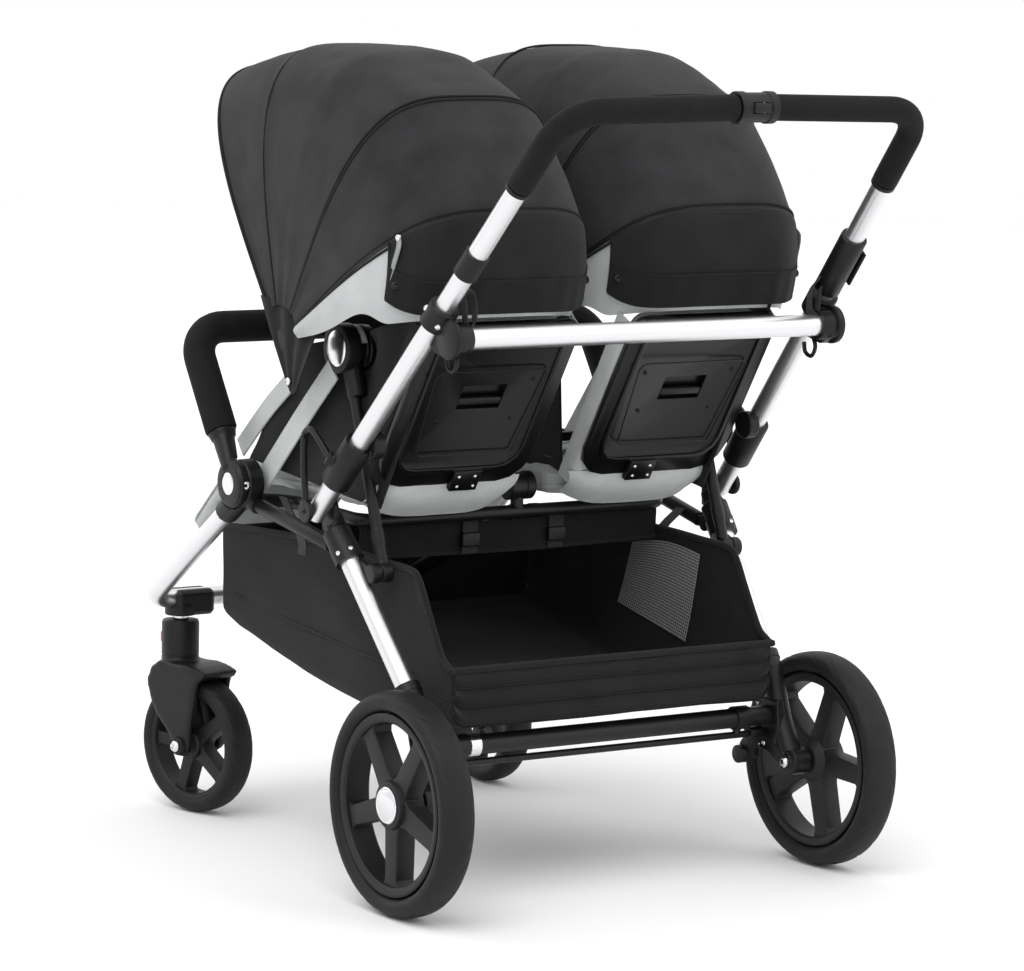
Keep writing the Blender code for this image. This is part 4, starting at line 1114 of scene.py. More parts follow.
    def handle(self, place, side):
        moulded("fold_joint_" + place, "plastic", 0.0015, 4)
        moulded("crossbar_mount_" + place, "plastic", 0.0016, 4)
        slope = handle_slope(side)
        out = X_AXIS * side
        for name, along, end, radius, run in (
                ("handle_band_", 0.368, 0.0340, 0.0211, 0.0012),
                ("fold_sleeve_", 0.058, 0.0780, 0.0209, 0.0015)):
            profile, start = sleeve(0.0, end, 0.0141, radius, run, 0.0009), on_handle(side, along)
            turned(name + place, profile, start, slope, "plastic", "handle", HUB_STEPS, True)
        cap = [(0.3105, 0.0245), (0.3125, 0.0266), (0.3165, 0.0266), (0.3172, 0.0258), (0.3180, 0.0258),
               (0.3188, 0.0262), (0.3203, 0.0235), (0.3208, 0.0)]
        disc("crossbar_cap_" + place, cap, at(CROSSBAR), side, "plastic", "handle")
        ring = [(0.2878, 0.0153), (0.2878, 0.0196), (0.2890, 0.0204), (0.3110, 0.0204), (0.3110, 0.0153)]
        turned("crossbar_sleeve_" + place, ring, at(CROSSBAR), out, "plastic", "handle", HUB_STEPS, True)
        centre = on_handle(side, 0.385)
        ways = [Vector((side * x, y, z)).normalized() for x, y, z in (
            (0.8, -0.30, 0.52), (0.45, 0.60, -0.66))]
        screws("handle_screws_" + place, [(centre + way * 0.0208, way) for way in ways], 0.0048, "handle")
        rivets = [(on_side(side, point), out) for point in (
            (0.3645, -0.2400, 0.5160), (0.3640, -0.2460, 0.6180))]
        screws("hook_rivets_" + place, rivets, 0.0036, "handle", "plastic")
        if side > 0:
            profile, start = sleeve(0.0, 0.0400, 0.0141, 0.0170, 0.0010, 0.0010), on_handle(side, 0.462)
            turned("tube_collar", profile, start, slope, "plastic", "handle", HUB_STEPS, True)
        hook = smooth_line([on_side(side, point) for point in (
            (0.3560, -0.1880, 0.5950), (0.3590, -0.2080, 0.6150), (0.3600, -0.2300, 0.6290),
            (0.3605, -0.2460, 0.6230), (0.3605, -0.2490, 0.6030), (0.3605, -0.2470, 0.5650),
            (0.3605, -0.2400, 0.5180))], 40)
        bead("hook_" + place, hook, 0.0046, "plastic", "handle", 16, 50.0)

    def posts(self, place, side):
        moulded("seat_post_" + place, "plastic", 0.0015, 4)
        hub = on_side(side, SEAT_HUB)
        out = X_AXIS * side
        body = body_of("seat_post_" + place)
        outer = [(-0.0045, 0.0), (-0.0045, 0.0320), (-0.0030, 0.0348), (0.0145, 0.0348), (0.0170, 0.0338),
                 (0.0176, 0.0320), (0.0176, 0.0262), (0.0164, 0.0255), (0.0160, 0.0)]
        disc("seat_hub_outer_" + place, outer, hub, side, "plastic", body)
        inner = [(-0.0330, 0.0), (-0.0330, 0.0290), (-0.0318, 0.0312), (-0.0212, 0.0324), (-0.0200, 0.0312),
                 (-0.0200, 0.0)]
        disc("seat_hub_inner_" + place, inner, hub, side, "plastic", body)
        cap = [(0.0150, 0.0250), (0.0174, 0.0248), (0.0186, 0.0222), (0.0194, 0.0140), (0.0197, 0.0)]
        disc("seat_hub_cap_" + place, cap, hub, side, "chrome", body, 20.0)
        turns = [math.radians(20.0 + 9.0 * k) for k in range(12)]
        arc = [hub + Vector((side * -0.012, math.cos(a) * 0.0262, math.sin(a) * 0.0262)) for a in turns]
        bead("seat_hub_key_" + place, arc, 0.0062, "grey_plastic", body, 16, 50.0)
        ends = [(on_side(side, POST_FOOT) + out * 0.0086 * sign, out * sign) for sign in (1.0, -1.0)]
        screws("post_screw_" + place, ends, 0.0045, body)

    def clasp(self):
        """The two halves round the middle of the grip: bands, a plain waist and the button's window."""
        crest = at(HANDLE_CREST)
        half = [(0.0300, 0.0178), (0.0300, 0.0202), (0.0290, 0.0213), (0.0185, 0.0213), (0.0176, 0.0205),
                (0.0172, 0.0197), (0.0020, 0.0196)]
        shape = lathe("handle_clasp_shell", doubled(half), crest, X_AXIS, HUB_STEPS)
        wall = shape.modifiers.new("wall", "SOLIDIFY")
        wall.thickness = 0.003
        wall.offset = -1.0
        window = block("window", (0.0270, 0.0160, 0.0150), crest + Vector((0.0, 0.0180, 0.0)))
        dress(cut_out(shape, window), "plastic", "handle", ["handle_clasp"], 30.0)


# Seats

# Half width, low end, high end, thickness and sewn channels of each pad
PAD_SHAPES = {
    "back": (0.107, 0.022, 0.268, 0.033, 2),
    "seat": (0.110, -0.582, -0.247, 0.044, 2),
    "leg_rest": (0.114, 0.002, 0.168, 0.034, 1),
}
PAD_NODES = {"back": "back_pad_", "seat": "seat_", "leg_rest": "leg_rest_"}
SEAT_MIDDLE = 0.15745
REMESH_VOXEL = 0.005
SIM_STEPS = 20


def back_frame(side):
    """Axes of a backrest: X across, Y up the back, Z towards the child."""
    up = Vector((0.0, math.cos(BACK_SLOPE), math.sin(BACK_SLOPE)))
    front = Vector((0.0, -math.sin(BACK_SLOPE), math.cos(BACK_SLOPE)))
    rows = Matrix((X_AXIS, up, front)).transposed().to_4x4()
    return Matrix.Translation(on_side(side, BACK_PIVOT)) @ rows


def pad_frame(kind, side):
    if kind == "back":
        return back_frame(side) @ Matrix.Translation((0.0, 0.0, 0.0135))
    if kind == "seat":
        return Matrix.Translation(at((side * SEAT_MIDDLE, 0.0, 0.5130)))
    drop = Matrix.Rotation(math.radians(-138.0), 4, "X")
    hang = Matrix.Translation(at((side * SEAT_MIDDLE, LEG_REST_PIVOT.y, LEG_REST_PIVOT.z))) @ drop
    return hang @ Matrix.Translation((0.0, 0.0, -0.022))


def swell(obj, most):
    """Blows a closed pad up with a short cloth simulation, and limits how far a point moves."""
    scene = bpy.context.scene
    rest = [vert.co.copy() for vert in obj.data.vertices]
    cloth = obj.modifiers.new("swell", "CLOTH")
    cloth.settings.use_pressure = True
    cloth.settings.uniform_pressure_force = 4.0
    cloth.settings.effector_weights.gravity = 0.0
    for step in range(SIM_STEPS):
        scene.frame_set(step + 1)
    graph = bpy.context.evaluated_depsgraph_get()
    blown = [vert.co.copy() for vert in obj.evaluated_get(graph).data.vertices]
    obj.modifiers.remove(cloth)
    scene.frame_set(1)
    for vert, before, after in zip(obj.data.vertices, rest, blown):
        step = after - before
        if step.length > most:
            step *= most / step.length
        vert.co = before + step


def fitted(obj, wanted):
    """Scales a mesh to a wanted box about the origin."""
    verts = obj.data.vertices
    low = [min(vert.co[axis] for vert in verts) for axis in range(3)]
    high = [max(vert.co[axis] for vert in verts) for axis in range(3)]
    for vert in verts:
        for axis in range(3):
            share = (vert.co[axis] - low[axis]) / (high[axis] - low[axis])
            vert.co[axis] = (share - 0.5) * wanted[axis]


def quilted(obj, half_width, length, thick, channels):
    """Sews channels across a pad's top and a line inside its edges, and flattens its underside."""
    groove = bpy.context.scene.stroller_sizes.seam_groove
    lines = [length * (k + 1) / (channels + 1) - length / 2 for k in range(channels)]
    base = min(vert.co.z for vert in obj.data.vertices)
    for vert in obj.data.vertices:
        x, y, z = vert.co
        over = max(0.0, min(1.0, (z - base) / thick - 0.3) / 0.5)
        inside = max(0.0, 1.0 - (abs(x) / (half_width - 0.004)) ** 6)
        dip = sum(math.exp(-((y - line) / 0.0055) ** 2) for line in lines)
        rim = math.exp(-((half_width - 0.020 - abs(x)) / 0.004) ** 2)
        crease = ripple(0.0012, x * 26.0, y * 26.0, 1.7)
        vert.co.z -= over * (dip * inside * groove + rim * groove * 0.45) - crease * over
        if z < base + 0.004:
            vert.co.z = base + (z - base) * 0.4
    return base


def pad_shape(kind):
    """One pad in its own frame: a slab swollen by pressure, then sewn across in channels."""
    half_width, low, high, thick, channels = PAD_SHAPES[kind]
    length = high - low
    slab = thick * 0.62
    bm = bmesh.new()
    bmesh.ops.create_cube(bm, size=1.0)
    bmesh.ops.scale(bm, vec=(half_width * 2 - 0.010, length - 0.010, slab), verts=bm.verts)
    upright = [edge for edge in bm.edges if abs((edge.verts[0].co - edge.verts[1].co).z) > 0.5 * slab]
    bmesh.ops.bevel(bm, geom=upright, offset=0.030, segments=6, affect="EDGES", profile=0.5, material=-1)
    obj = applied(voxelled(mesh_object(kind + "_pad", bm), REMESH_VOXEL))
    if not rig.quick():
        swell(obj, 0.008)
    fitted(obj, (half_width * 2, length, thick))
    fine = obj.modifiers.new("fine", "SUBSURF")
    fine.levels = 1
    fine.render_levels = 1
    obj = applied(obj)
    base = quilted(obj, half_width, length, thick, channels)
    obj.data.transform(Matrix.Translation((0.0, (low + high) / 2, -base)))
    bm = bmesh.new()
    bm.from_mesh(obj.data)
    uv = bm.loops.layers.uv.verify()
    for face in bm.faces:
        for corner in face.loops:
            x, y, z = corner.vert.co
            corner[uv].uv = (x + z * 0.7, y + z * 0.7)
    bm.to_mesh(obj.data)
    bm.free()
    return obj


def pad_piping(kind):
    """A bead sewn round a pad at about a third of its height."""
    half_width, low, high, thick, _ = PAD_SHAPES[kind]
    radius = 0.032
    corners = [(half_width, low), (half_width, high), (-half_width, high), (-half_width, low)]
    line = []
    for index, (x, y) in enumerate(corners):
        cx = x - math.copysign(radius, x)
        cy = y + (radius if y == low else -radius)
        for step in range(9):
            angle = math.radians(-90.0 + 90.0 * index) + math.radians(90.0) * step / 8
            line.append(Vector((cx + radius * math.cos(angle), cy + radius * math.sin(angle), thick * 0.36)))
    line.append(line[0].copy())
    return sweep(kind + "_piping", line, bpy.context.scene.stroller_sizes.piping, 10)


class STROLLER_OT_seats(bpy.types.Operator):
    """Makes the padded seats, their shells, side panels and harness"""
    bl_idname = "stroller.seats"
    bl_label = "Seats"

    def execute(self, context):
        pads = {kind: pad_shape(kind) for kind in PAD_SHAPES}
        beads = {kind: pad_piping(kind) for kind in PAD_SHAPES}
        for place, side in SIDES.items():
            for kind, node in PAD_NODES.items():
                for source, ending in ((pads[kind], "_pad_"), (beads[kind], "_piping_")):
                    is_pad = ending == "_pad_"
                    copy = bpy.data.objects.new(kind + ending + place, source.data.copy())
                    context.scene.collection.objects.link(copy)
                    copy.data.transform(pad_frame(kind, side))
                    dress(copy, "seat", body_of(node + place), [node + place] if is_pad else (), 60.0)
                    if is_pad:
                        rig.padded(copy, fill=0.7)
            self.shell(place, side)
            self.wings(place, side)
            self.side_cloth(place, side)
            self.tail(place, side)
            self.gussets(place, side)
            self.harness(place, side)
            self.waist(place, side)
        for source in list(pads.values()) + list(beads.values()):
            bpy.data.objects.remove(source, do_unlink=True)
        return {"FINISHED"}

    def shell(self, place, side):
        """The moulded shell's back: a ridge round its panel, screws, and the recess of the recline bar."""
        softened("back_shell_" + place, "shell", 0.0016, 40.0)
        softened("recline_bar_" + place, "plastic", 0.0010)
        body = "back_" + place
        to_world = back_frame(side)
        back = (to_world.to_3x3() @ Vector((0.0, 0.0, -1.0))).normalized()
        border = [to_world @ Vector((x, y, -0.0040)) for x, y in (
            (-0.078, 0.062), (0.078, 0.062), (0.092, 0.205), (-0.092, 0.205), (-0.078, 0.062))]
        bead("shell_ridge_" + place, rounded_path(border, 0.012, 5), 0.0012, "shell", body, 8)
        spots = [(x * sign, y, depth) for x, y, depth, sign in (
            (0.074, 0.185, 0.0015, -1), (0.060, 0.118, 0.0015, -1), (0.074, 0.185, 0.0015, 1),
            (0.060, 0.118, 0.0015, 1), (0.104, 0.200, 0.0020, -1), (0.104, 0.120, 0.0020, -1),
            (0.104, 0.200, 0.0020, 1), (0.104, 0.120, 0.0020, 1))]
        heads = [(to_world @ Vector(spot), back) for spot in spots]
        screws("shell_screws_" + place, heads, 0.0030, body, "plastic")
        bm = bmesh.new()
        bmesh.ops.create_grid(bm, x_segments=1, y_segments=1, size=0.5)
        bmesh.ops.scale(bm, vec=(0.084, 0.060, 1.0), verts=bm.verts)
        bmesh.ops.transform(bm, matrix=to_world @ Matrix.Translation((0.0, 0.165, 0.0118)), verts=bm.verts)
        dress(mesh_object("recline_recess_" + place, bm), "shell", body)
        plate = [Vector((side * -0.020 + x, 0.016 + y, -0.0082)) for x, y in (
            (-0.014, -0.009), (0.012, -0.009), (-0.012, 0.008), (0.014, 0.008))]
        screws("bracket_screws_" + place, [(to_world @ point, back) for point in plate], 0.0026, body)

    def wings(self, place, side):
        """Upright cloth at both sides of a seat, under the arm rest's place."""
        for name, look, reach, top, puff in (
                ("outer", "seat", 0.2475, 0.680, 0.006), ("inner", "hood_back", 0.0674, 0.700, -0.006)):
            def wing(u, v):
                low = Vector((-0.530, 0.545)).lerp(Vector((-0.250, 0.530)), u)
                high = Vector((-0.420, top)).lerp(Vector((-0.262, top)), u)
                y, z = low.lerp(high, v)
                belly = math.sin(math.pi * u) * math.sin(math.pi * v) * puff
                return at((side * (reach + belly), y, z))

            cloth_piece("seat_wing_%s_%s" % (name, place), look, (24, 14), wing, (0.28, 0.16), 0.004,
                        "stretched", "seat_pad_" + place)

    def side_cloth(self, place, side):
        """Black cloth beside a seat with two grey strips over it, drawn in as the frame folds."""
        inward = X_AXIS * side * 0.266

        def dark(u, v):
            low = Vector((0.272, -0.190, 0.520)).lerp(Vector((0.300, -0.500, 0.556)), u)
            high = Vector((0.270, -0.034, 0.806)).lerp(Vector((0.298, -0.362, 0.730)), u)
            belly = math.sin(math.pi * u) * math.sin(math.pi * v)
            crease = ripple(0.003, u * 6.0, v * 5.0, side)
            point = low.lerp(high, v)
            near_hub = math.exp(-(math.hypot(point.y - SEAT_HUB.y, point.z - SEAT_HUB.z) / 0.052) ** 2)
            return on_side(side, point - X_AXIS * (0.010 * belly * (1 - u) + crease + 0.036 * near_hub))

        panel = cloth_piece("side_cloth_" + place, "hood_back", (44, 30), dark, (0.33, 0.24), 0.0020,
                            "stretched", "front_hub_" + place)
        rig.squash(panel, "frame_fold", X_AXIS, inward, keep=0.12)
        for name, width, points in (
                ("grey_strip_rear_", 0.032, (
                    (0.3030, -0.270, 0.705), (0.3070, -0.355, 0.622), (0.3080, -0.450, 0.529))),
                ("grey_strip_front_", 0.026, (
                    (0.3030, -0.384, 0.678), (0.3040, -0.446, 0.632), (0.3010, -0.524, 0.569)))):
            line = [on_side(side, point) for point in points]
            across = (line[-1] - line[0]).normalized().cross(X_AXIS * side).normalized()
            pieces = [strap_piece(
                name + place, "seat", line, width, across, "stretched", "front_hub_" + place,
                thickness=0.0030)]
            for ending, edge in (("_low", -0.5), ("_high", 0.5)):
                path = smooth_line([point + across * width * edge for point in line], 16)
                pieces.append(bead(name + place + ending, path, 0.0016, "seat", "chassis"))
            for piece in pieces:
                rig.squash(piece, "frame_fold", X_AXIS, inward, keep=0.2)

    def tail(self, place, side):
        """Grey cloth that closes a seat at the back, under its shell."""
        def under(u, v):
            over = abs(2 * u - 1)
            half = 0.122 - 0.010 * v
            y = -0.186 - 0.036 * v + 0.012 * math.sin(math.pi * v)
            z = 0.556 - 0.052 * v + 0.020 * over ** 4 * v
            fold = ripple(0.0016, u * 9.0 + side, v * 2.0, 1.3)
            return at((side * 0.1640 + (2 * u - 1) * half, y + fold - 0.012 * over ** 6, z))

        cloth_piece("seat_tail_" + place, "seat", (44, 16), under, (0.245, 0.085), 0.0024, "stretched",
                    "seat_pad_" + place)
        bead("tail_hem_" + place, [under(k / 44, 1.0) for k in range(45)], 0.0019, "seat", "chassis")

    def gussets(self, place, side):
        """Cloth between the back's pad and its shell, dark outside and grey inside."""
        to_world = back_frame(side)
        for name, edge in (("a", -1.0), ("b", 1.0)):
            def gusset(u, v):
                wide = 0.086 + 0.028 * min(1.0, u / 0.45) + 0.006 * u + 0.008 * v
                deep = 0.0122 + 0.028 * max(0.0, u - 0.40) / 0.60
                fold = ripple(0.0014, v * 9.0, u * 2.0, edge)
                return to_world @ Vector((edge * (wide + fold), -0.020 + 0.285 * v, deep))

            look = "hood_back" if edge == side else "seat"
            cloth_piece("back_gusset_%s_%s" % (name, place), look, (10, 40), gusset, (0.060, 0.285), 0.0024,
                        "stretched", "back_pad_" + place, "back_" + place)

    def harness(self, place, side):
        """Shoulder straps with a sleeve each."""
        width = bpy.context.scene.stroller_sizes.webbing
        to_world = back_frame(side)
        body = "back_" + place
        for name, x in (("a", -0.045), ("b", 0.045)):
            points = [to_world @ Vector((x * k, y, z)) for k, y, z in (
                (1.00, 0.236, 0.040), (1.00, 0.225, 0.049), (0.98, 0.150, 0.051), (0.90, 0.080, 0.052),
                (0.80, 0.040, 0.058))]
            strap_piece("shoulder_strap_%s_%s" % (name, place), "webbing", points, width, X_AXIS, "laid",
                        "back_pad_" + place, body)
            lift = to_world.to_3x3() @ Vector((0, 0, 0.003))
            cover = strap("shoulder_pad_%s_%s" % (name, place), [point + lift for point in points[1:4]],
                          width + 0.018, X_AXIS, 0.007)
            dress(cover, "seat", body, (), 60.0)
            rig.padded(cover, fill=0.5)

    def waist(self, place, side):
        """Waist and crotch straps that meet at one buckle."""
        width = bpy.context.scene.stroller_sizes.webbing
        centre = side * SEAT_MIDDLE
        pad = "seat_pad_" + place
        for name, turn in (("a", -1.0), ("b", 1.0)):
            points = [at((centre + turn * x, y, z)) for x, y, z in (
                (0.096, -0.275, 0.566), (0.080, -0.330, 0.566), (0.050, -0.375, 0.570),
                (0.018, -0.392, 0.576))]
            across = (0.15 * turn, 1.0, 0.0)
            strap_piece("waist_strap_%s_%s" % (name, place), "webbing", points, width, across, "laid", pad)
        points = [at((centre, y, z)) for y, z in ((-0.480, 0.558), (-0.450, 0.570), (-0.405, 0.576))]
        strap_piece("crotch_strap_" + place, "webbing", points, width, X_AXIS, "laid", pad, length=0.078)
        buckle = block("buckle_" + place, (0.044, 0.050, 0.014), at((centre, -0.396, 0.580)), 0.0060, 4)
        dress(buckle, "plastic", "chassis", (), 50.0)
        button = [(0.0, 0.0110), (0.0015, 0.0110), (0.0024, 0.0098), (0.0030, 0.0)]
        middle = at((centre, -0.396, 0.5866))
        turned("buckle_button_" + place, button, middle, Z_AXIS, "wheel", "chassis", 32)


# Hoods

HOOD_HALF_WIDTH = 0.1765
HOOD_BOXINESS = 0.58
HOOD_EDGE_REACH = 0.050
HOOD_OVER = 0.86
BOWS = (59.2, 103.0, 125.6)
TAUT_LINES = (59.2, 81.0, 103.0, 125.6)
ZIP_ANGLE = 31.0
FLAP_ENDS = (0.205, 0.795)
# Angle of the bow in degrees, and distance of the hood's crest from its pivot
HOOD_CREST = (
    (4.0, 0.284), (10.0, 0.300), (30.0, 0.376), (59.0, 0.400), (80.0, 0.404), (105.0, 0.416), (126.0, 0.455))


def hood_radius(angle):
    """Distance of the hood's crest from its pivot, by the angle of the bow in degrees."""
    for (a0, r0), (a1, r1) in zip(HOOD_CREST, HOOD_CREST[1:]):
        if angle <= a1:
            return r0 + (r1 - r0) * (angle - a0) / (a1 - a0)
    return HOOD_CREST[-1][1]


def hood_point(side, angle, share, out=0.0):
    """A point of a hood: the bow's angle in degrees, and a share of the way over from the +X edge."""
    turn = math.pi * share
    wide = math.copysign(abs(math.cos(turn)) ** HOOD_BOXINESS, math.cos(turn))
    high = max(0.0, math.sin(turn)) ** HOOD_BOXINESS
    reach = HOOD_EDGE_REACH + (hood_radius(angle) + out - HOOD_EDGE_REACH) * high
    width = HOOD_HALF_WIDTH + out * 0.5 - 0.006 * (1.0 - high)
    direction = Vector((0.0, math.cos(math.radians(angle)), math.sin(math.radians(angle))))
    return on_side(side, HOOD_PIVOT) + direction * reach + Vector((wide * width, 0.0, 0.0))


def hood_bend(side):
    """The stretch of a hood over which its cloth goes from the fixed rear bow to the turning front bow."""
    return hood_point(side, BOWS[0] + 1.5, 0.5), hood_point(side, BOWS[-1] - 4.0, 0.5)


class STROLLER_OT_hoods(bpy.types.Operator):
    """Makes the two hoods with their bows, zip, piping and rear bands"""
    bl_idname = "stroller.hoods"
    bl_label = "Hoods"

    def execute(self, context):
        for place, side in SIDES.items():
            self.cloth(
                "hood_rear_cloth_" + place, side, (ZIP_ANGLE, 59.0), (96, 30), 1.2,
                "back_shell_" + place, "chassis", "hood_rear_" + place)
            self.cloth(
                "hood_cloth_" + place, side, TAUT_LINES, (96, 66), 1.3, "hood_bow_%s_1" % place,
                "hood_" + place, "hood_front_" + place, (59.15, 125.8), hood_bend(side))
            self.bows(place, side)
            self.zip(place, side)
            self.lining(place, side)
            self.flap(place, side)
            self.hinge(place, side)
        return {"FINISHED"}

    def cloth(self, name, side, bows, grid, drape, rests_on, body, node, ends=None, bend=None):
        """The cloth over some bows: taut at each, dipping and creased between them."""
        first, last = ends or bows
        sizes = bpy.context.scene.stroller_sizes

        def surface(u, v):
            angle = first + (last - first) * v
            dip = 0.0
            for a, b in zip(bows, bows[1:]):
                if a <= angle <= b:
                    dip = math.sin(math.pi * (angle - a) / (b - a)) * sizes.hood_sag
            lift = math.sin(math.pi * u) ** 0.5
            fold = ripple(0.0016, u * 5.0 + side * 7.0, angle * 0.06, 0.4)
            fine = ripple(0.0007, u * 16.0, angle * 0.22, 2.3 + side)
            pleat = math.sin(angle * 0.35 + u * 9.0) * (1.0 - lift) ** 2 * 0.0016
            return hood_point(side, angle, u, -dip * lift + drape * (fold + fine) + pleat)

        size = (HOOD_OVER, math.radians(last - first) * 0.41)
        cloth_piece(
            name, "hood", grid, surface, size, sizes.hood_cloth, "stretched", rests_on, body, [node], bend)

    def along(self, side, angle, out, first=0.0, last=1.0, count=90):
        return [hood_point(side, angle, first + (last - first) * k / count, out) for k in range(count + 1)]

    def bows(self, place, side):
        """The piped middle bow with its stitches, and the thicker front bow."""
        piping = bpy.context.scene.stroller_sizes.piping
        body, bend = "hood_" + place, hood_bend(side)
        middle, front = BOWS[1:]
        line = self.along(side, middle, 0.0006)
        bead("hood_bow_%s_1" % place, line, piping, "binding", body, 12, bend=bend)
        for name, shift in (("a", -0.9), ("b", 0.9)):
            line = self.along(side, middle + shift, -0.0004)
            bead("hood_stitch_%s_1_%s" % (place, name), line, 0.0005, "binding", body, 6, bend=bend)
        line = self.along(side, front, 0.0006)
        bead("hood_bow_%s_2" % place, line, piping * 1.9, "binding", body, 12, bend=bend)

    def zip(self, place, side):
        """The seam over the rear bow, and the zip below it with its grey pull."""
        for name, angle, out, radius in (
                ("rear_seam_low_", 58.5, 0.0006, 0.0022), ("rear_seam_high_", 59.45, 0.0006, 0.0022),
                ("zip_tape_low_", ZIP_ANGLE - 1.0, 0.0012, 0.0020),
                ("zip_tape_high_", ZIP_ANGLE + 1.2, 0.0012, 0.0020)):
            bead(name + place, self.along(side, angle, out), radius, "binding", "chassis")
        teeth = self.along(side, ZIP_ANGLE, 0.0010, 0.03, 0.97, 200)
        bead("zip_teeth_" + place, teeth, 0.0013, "zip", "chassis", 8)
        start = hood_point(side, ZIP_ANGLE, 0.235 if side > 0 else 0.765, 0.004)
        points = [start + Vector((side * x, y, z)) for x, y, z in (
            (0.0, 0.0, 0.0), (0.004, 0.006, -0.014), (0.008, -0.010, -0.058))]
        strap_piece(
            "zip_pull_" + place, "pull", points, 0.010, (0.0, 1.0, 0.15), "hung", "zip_teeth_" + place,
            thickness=0.0016, length=0.060)
        screws("zip_slider_" + place, [(start, Vector((side, 0.3, 0.4)))], 0.0048, "chassis")

    def lining(self, place, side):
        """Grey cloth of the seat's head, which puffs out under the zip at both sides."""
        def surface(u, v):
            edge = min(u, 1.0 - u) / 0.24
            low = 10.4 + 5.0 * math.sin(math.pi * min(1.0, edge)) ** 2
            angle = low + (ZIP_ANGLE - 0.05 - low) * v
            side_puff = max(0.0, 1.0 - edge)
            puff = math.sin(math.pi * v) * side_puff * 0.010
            fold = ripple(0.0028, u * 14.0 + side, v * 2.4, 0.9) * side_puff
            return hood_point(side, angle, u, puff + fold - 0.003 * (1.0 - side_puff))

        cloth_piece("head_cloth_" + place, "seat", (110, 14), surface, (0.70, 0.14), 0.0020, "stretched",
                    "back_shell_" + place)

    def flap(self, place, side):
        """The dark panel under the zip, with the doubled band and studs along its lower edge."""
        first, last = FLAP_ENDS

        def base(share):
            return 11.5 + 6.0 * ((share - 0.5) / 0.295) ** 4

        def panel(u, v):
            share = first + (last - first) * u
            low = base(share)
            fold = ripple(0.0016, u * 7.0, v * 2.0 + side, 4.0)
            belly = math.sin(math.pi * v) * 0.006
            return hood_point(side, low + (ZIP_ANGLE - 0.2 - low) * v, share, 0.0022 + belly + fold)

        def band(u, v):
            share = first + (last - first) * u
            height = 6.8 + 1.2 * abs(2 * u - 1) ** 2
            wave = 0.0006 * math.sin(u * 60.0)
            return hood_point(side, base(share) - 0.4 + height * v, share, 0.0118 - 0.0015 * v + wave)

        cloth_piece("hood_flap_" + place, "hood_back", (90, 20), panel, (0.52, 0.115), 0.0014, "stretched",
                    "head_cloth_" + place)
        cloth_piece("hood_band_" + place, "binding", (90, 8), band, (0.52, 0.046), 0.0020, "stretched",
                    "hood_flap_" + place)
        for name, level in (("low", 0.0), ("high", 1.0)):
            line = [band(k / 90, level) for k in range(91)]
            bead("band_edge_%s_%s" % (name, place), line, 0.0015, "binding", "chassis")
        for share in FLAP_ENDS:
            low = base(share)
            line = [hood_point(side, low + (ZIP_ANGLE - low) * k / 12, share, 0.006) for k in range(13)]
            bead("flap_edge_%s_%d" % (place, share * 10), line, 0.0016, "binding", "chassis")
        studs = []
        for share in (0.232, 0.768):
            centre, ahead = (hood_point(side, base(share) + 4.4, share, out) for out in (0.0115, 0.03))
            studs.append((centre, (ahead - centre).normalized()))
        screws("hood_studs_" + place, studs, 0.0062, "chassis", "plastic")

    def hinge(self, place, side):
        """The gathered cloth that comes down to a point at the hood's hinge."""
        cap = [
            (-0.006, 0.0), (-0.006, 0.0150), (-0.004, 0.0170), (0.001, 0.0170), (0.003, 0.0145),
            (0.0035, 0.0)]
        for name, edge in (("outer", 1.0), ("inner", -1.0)):
            out = X_AXIS * edge
            pivot = on_side(side, HOOD_PIVOT) + out * (HOOD_HALF_WIDTH - 0.0035)

            def surface(u, v):
                high = Vector((-0.050, 0.060)).lerp(Vector((0.095, 0.046)), u)
                low = Vector((0.028, -0.060)).lerp(Vector((0.050, -0.064)), u)
                y, z = high.lerp(low, v)
                pleat = 0.0022 * math.sin(u * 19.0 + v * 2.0) * (1.0 - v) ** 0.5 - 0.016 * u * (1.0 - v)
                round_end = -0.007 * math.sin(math.pi * u) * max(0.0, v - 0.8) / 0.2
                return pivot + Vector((edge * pleat, y, z + round_end))

            corner = pivot + Vector((0.0, -0.050, 0.060))
            label = "%s_%s" % (name, place)
            cloth_piece(
                "hood_tip_" + label, "hood_back", (44, 20), surface, (0.145, 0.125), 0.0016, "hung",
                "hood_cloth_" + place, "hood_" + place, (), (pivot, corner))
            disc("hood_hinge_" + label, cap, pivot - out * 0.004, edge, "plastic", "chassis")
            stud = pivot + Vector((edge * 0.0035, 0.034, -0.052))
            screws("tip_stud_" + label, [(stud, out)], 0.0055, "chassis")


# Basket

# Distance from the rear axle, height of the floor and height of the rim
BASKET_STATIONS = (
    (-0.630, 0.306, 0.440), (-0.595, 0.294, 0.444), (-0.406, 0.256, 0.452), (-0.250, 0.236, 0.450),
    (-0.105, 0.236, 0.444), (-0.040, 0.238, 0.338), (-0.012, 0.243, 0.322))
BASKET_WALL = BASKET_HALF_WIDTH - 0.0015
BASKET_CORNER = 0.022
BASKET_LENGTH = 0.618


def basket_station(y):
    """Height of the basket's floor and rim at a distance from the rear axle."""
    for (y0, low0, high0), (y1, low1, high1) in zip(BASKET_STATIONS, BASKET_STATIONS[1:]):
        if y <= y1:
            t = max(0.0, (y - y0) / (y1 - y0))
            return low0 + (low1 - low0) * t, high0 + (high1 - high0) * t
    return BASKET_STATIONS[-1][1:]


def basket_bulge(y, level):
    """How far a side wall bellies out, at a distance from the axle and a share of the way down."""
    return math.sin(math.pi * level) * 0.005 * math.sin(math.pi * (y + 0.63) / BASKET_LENGTH)


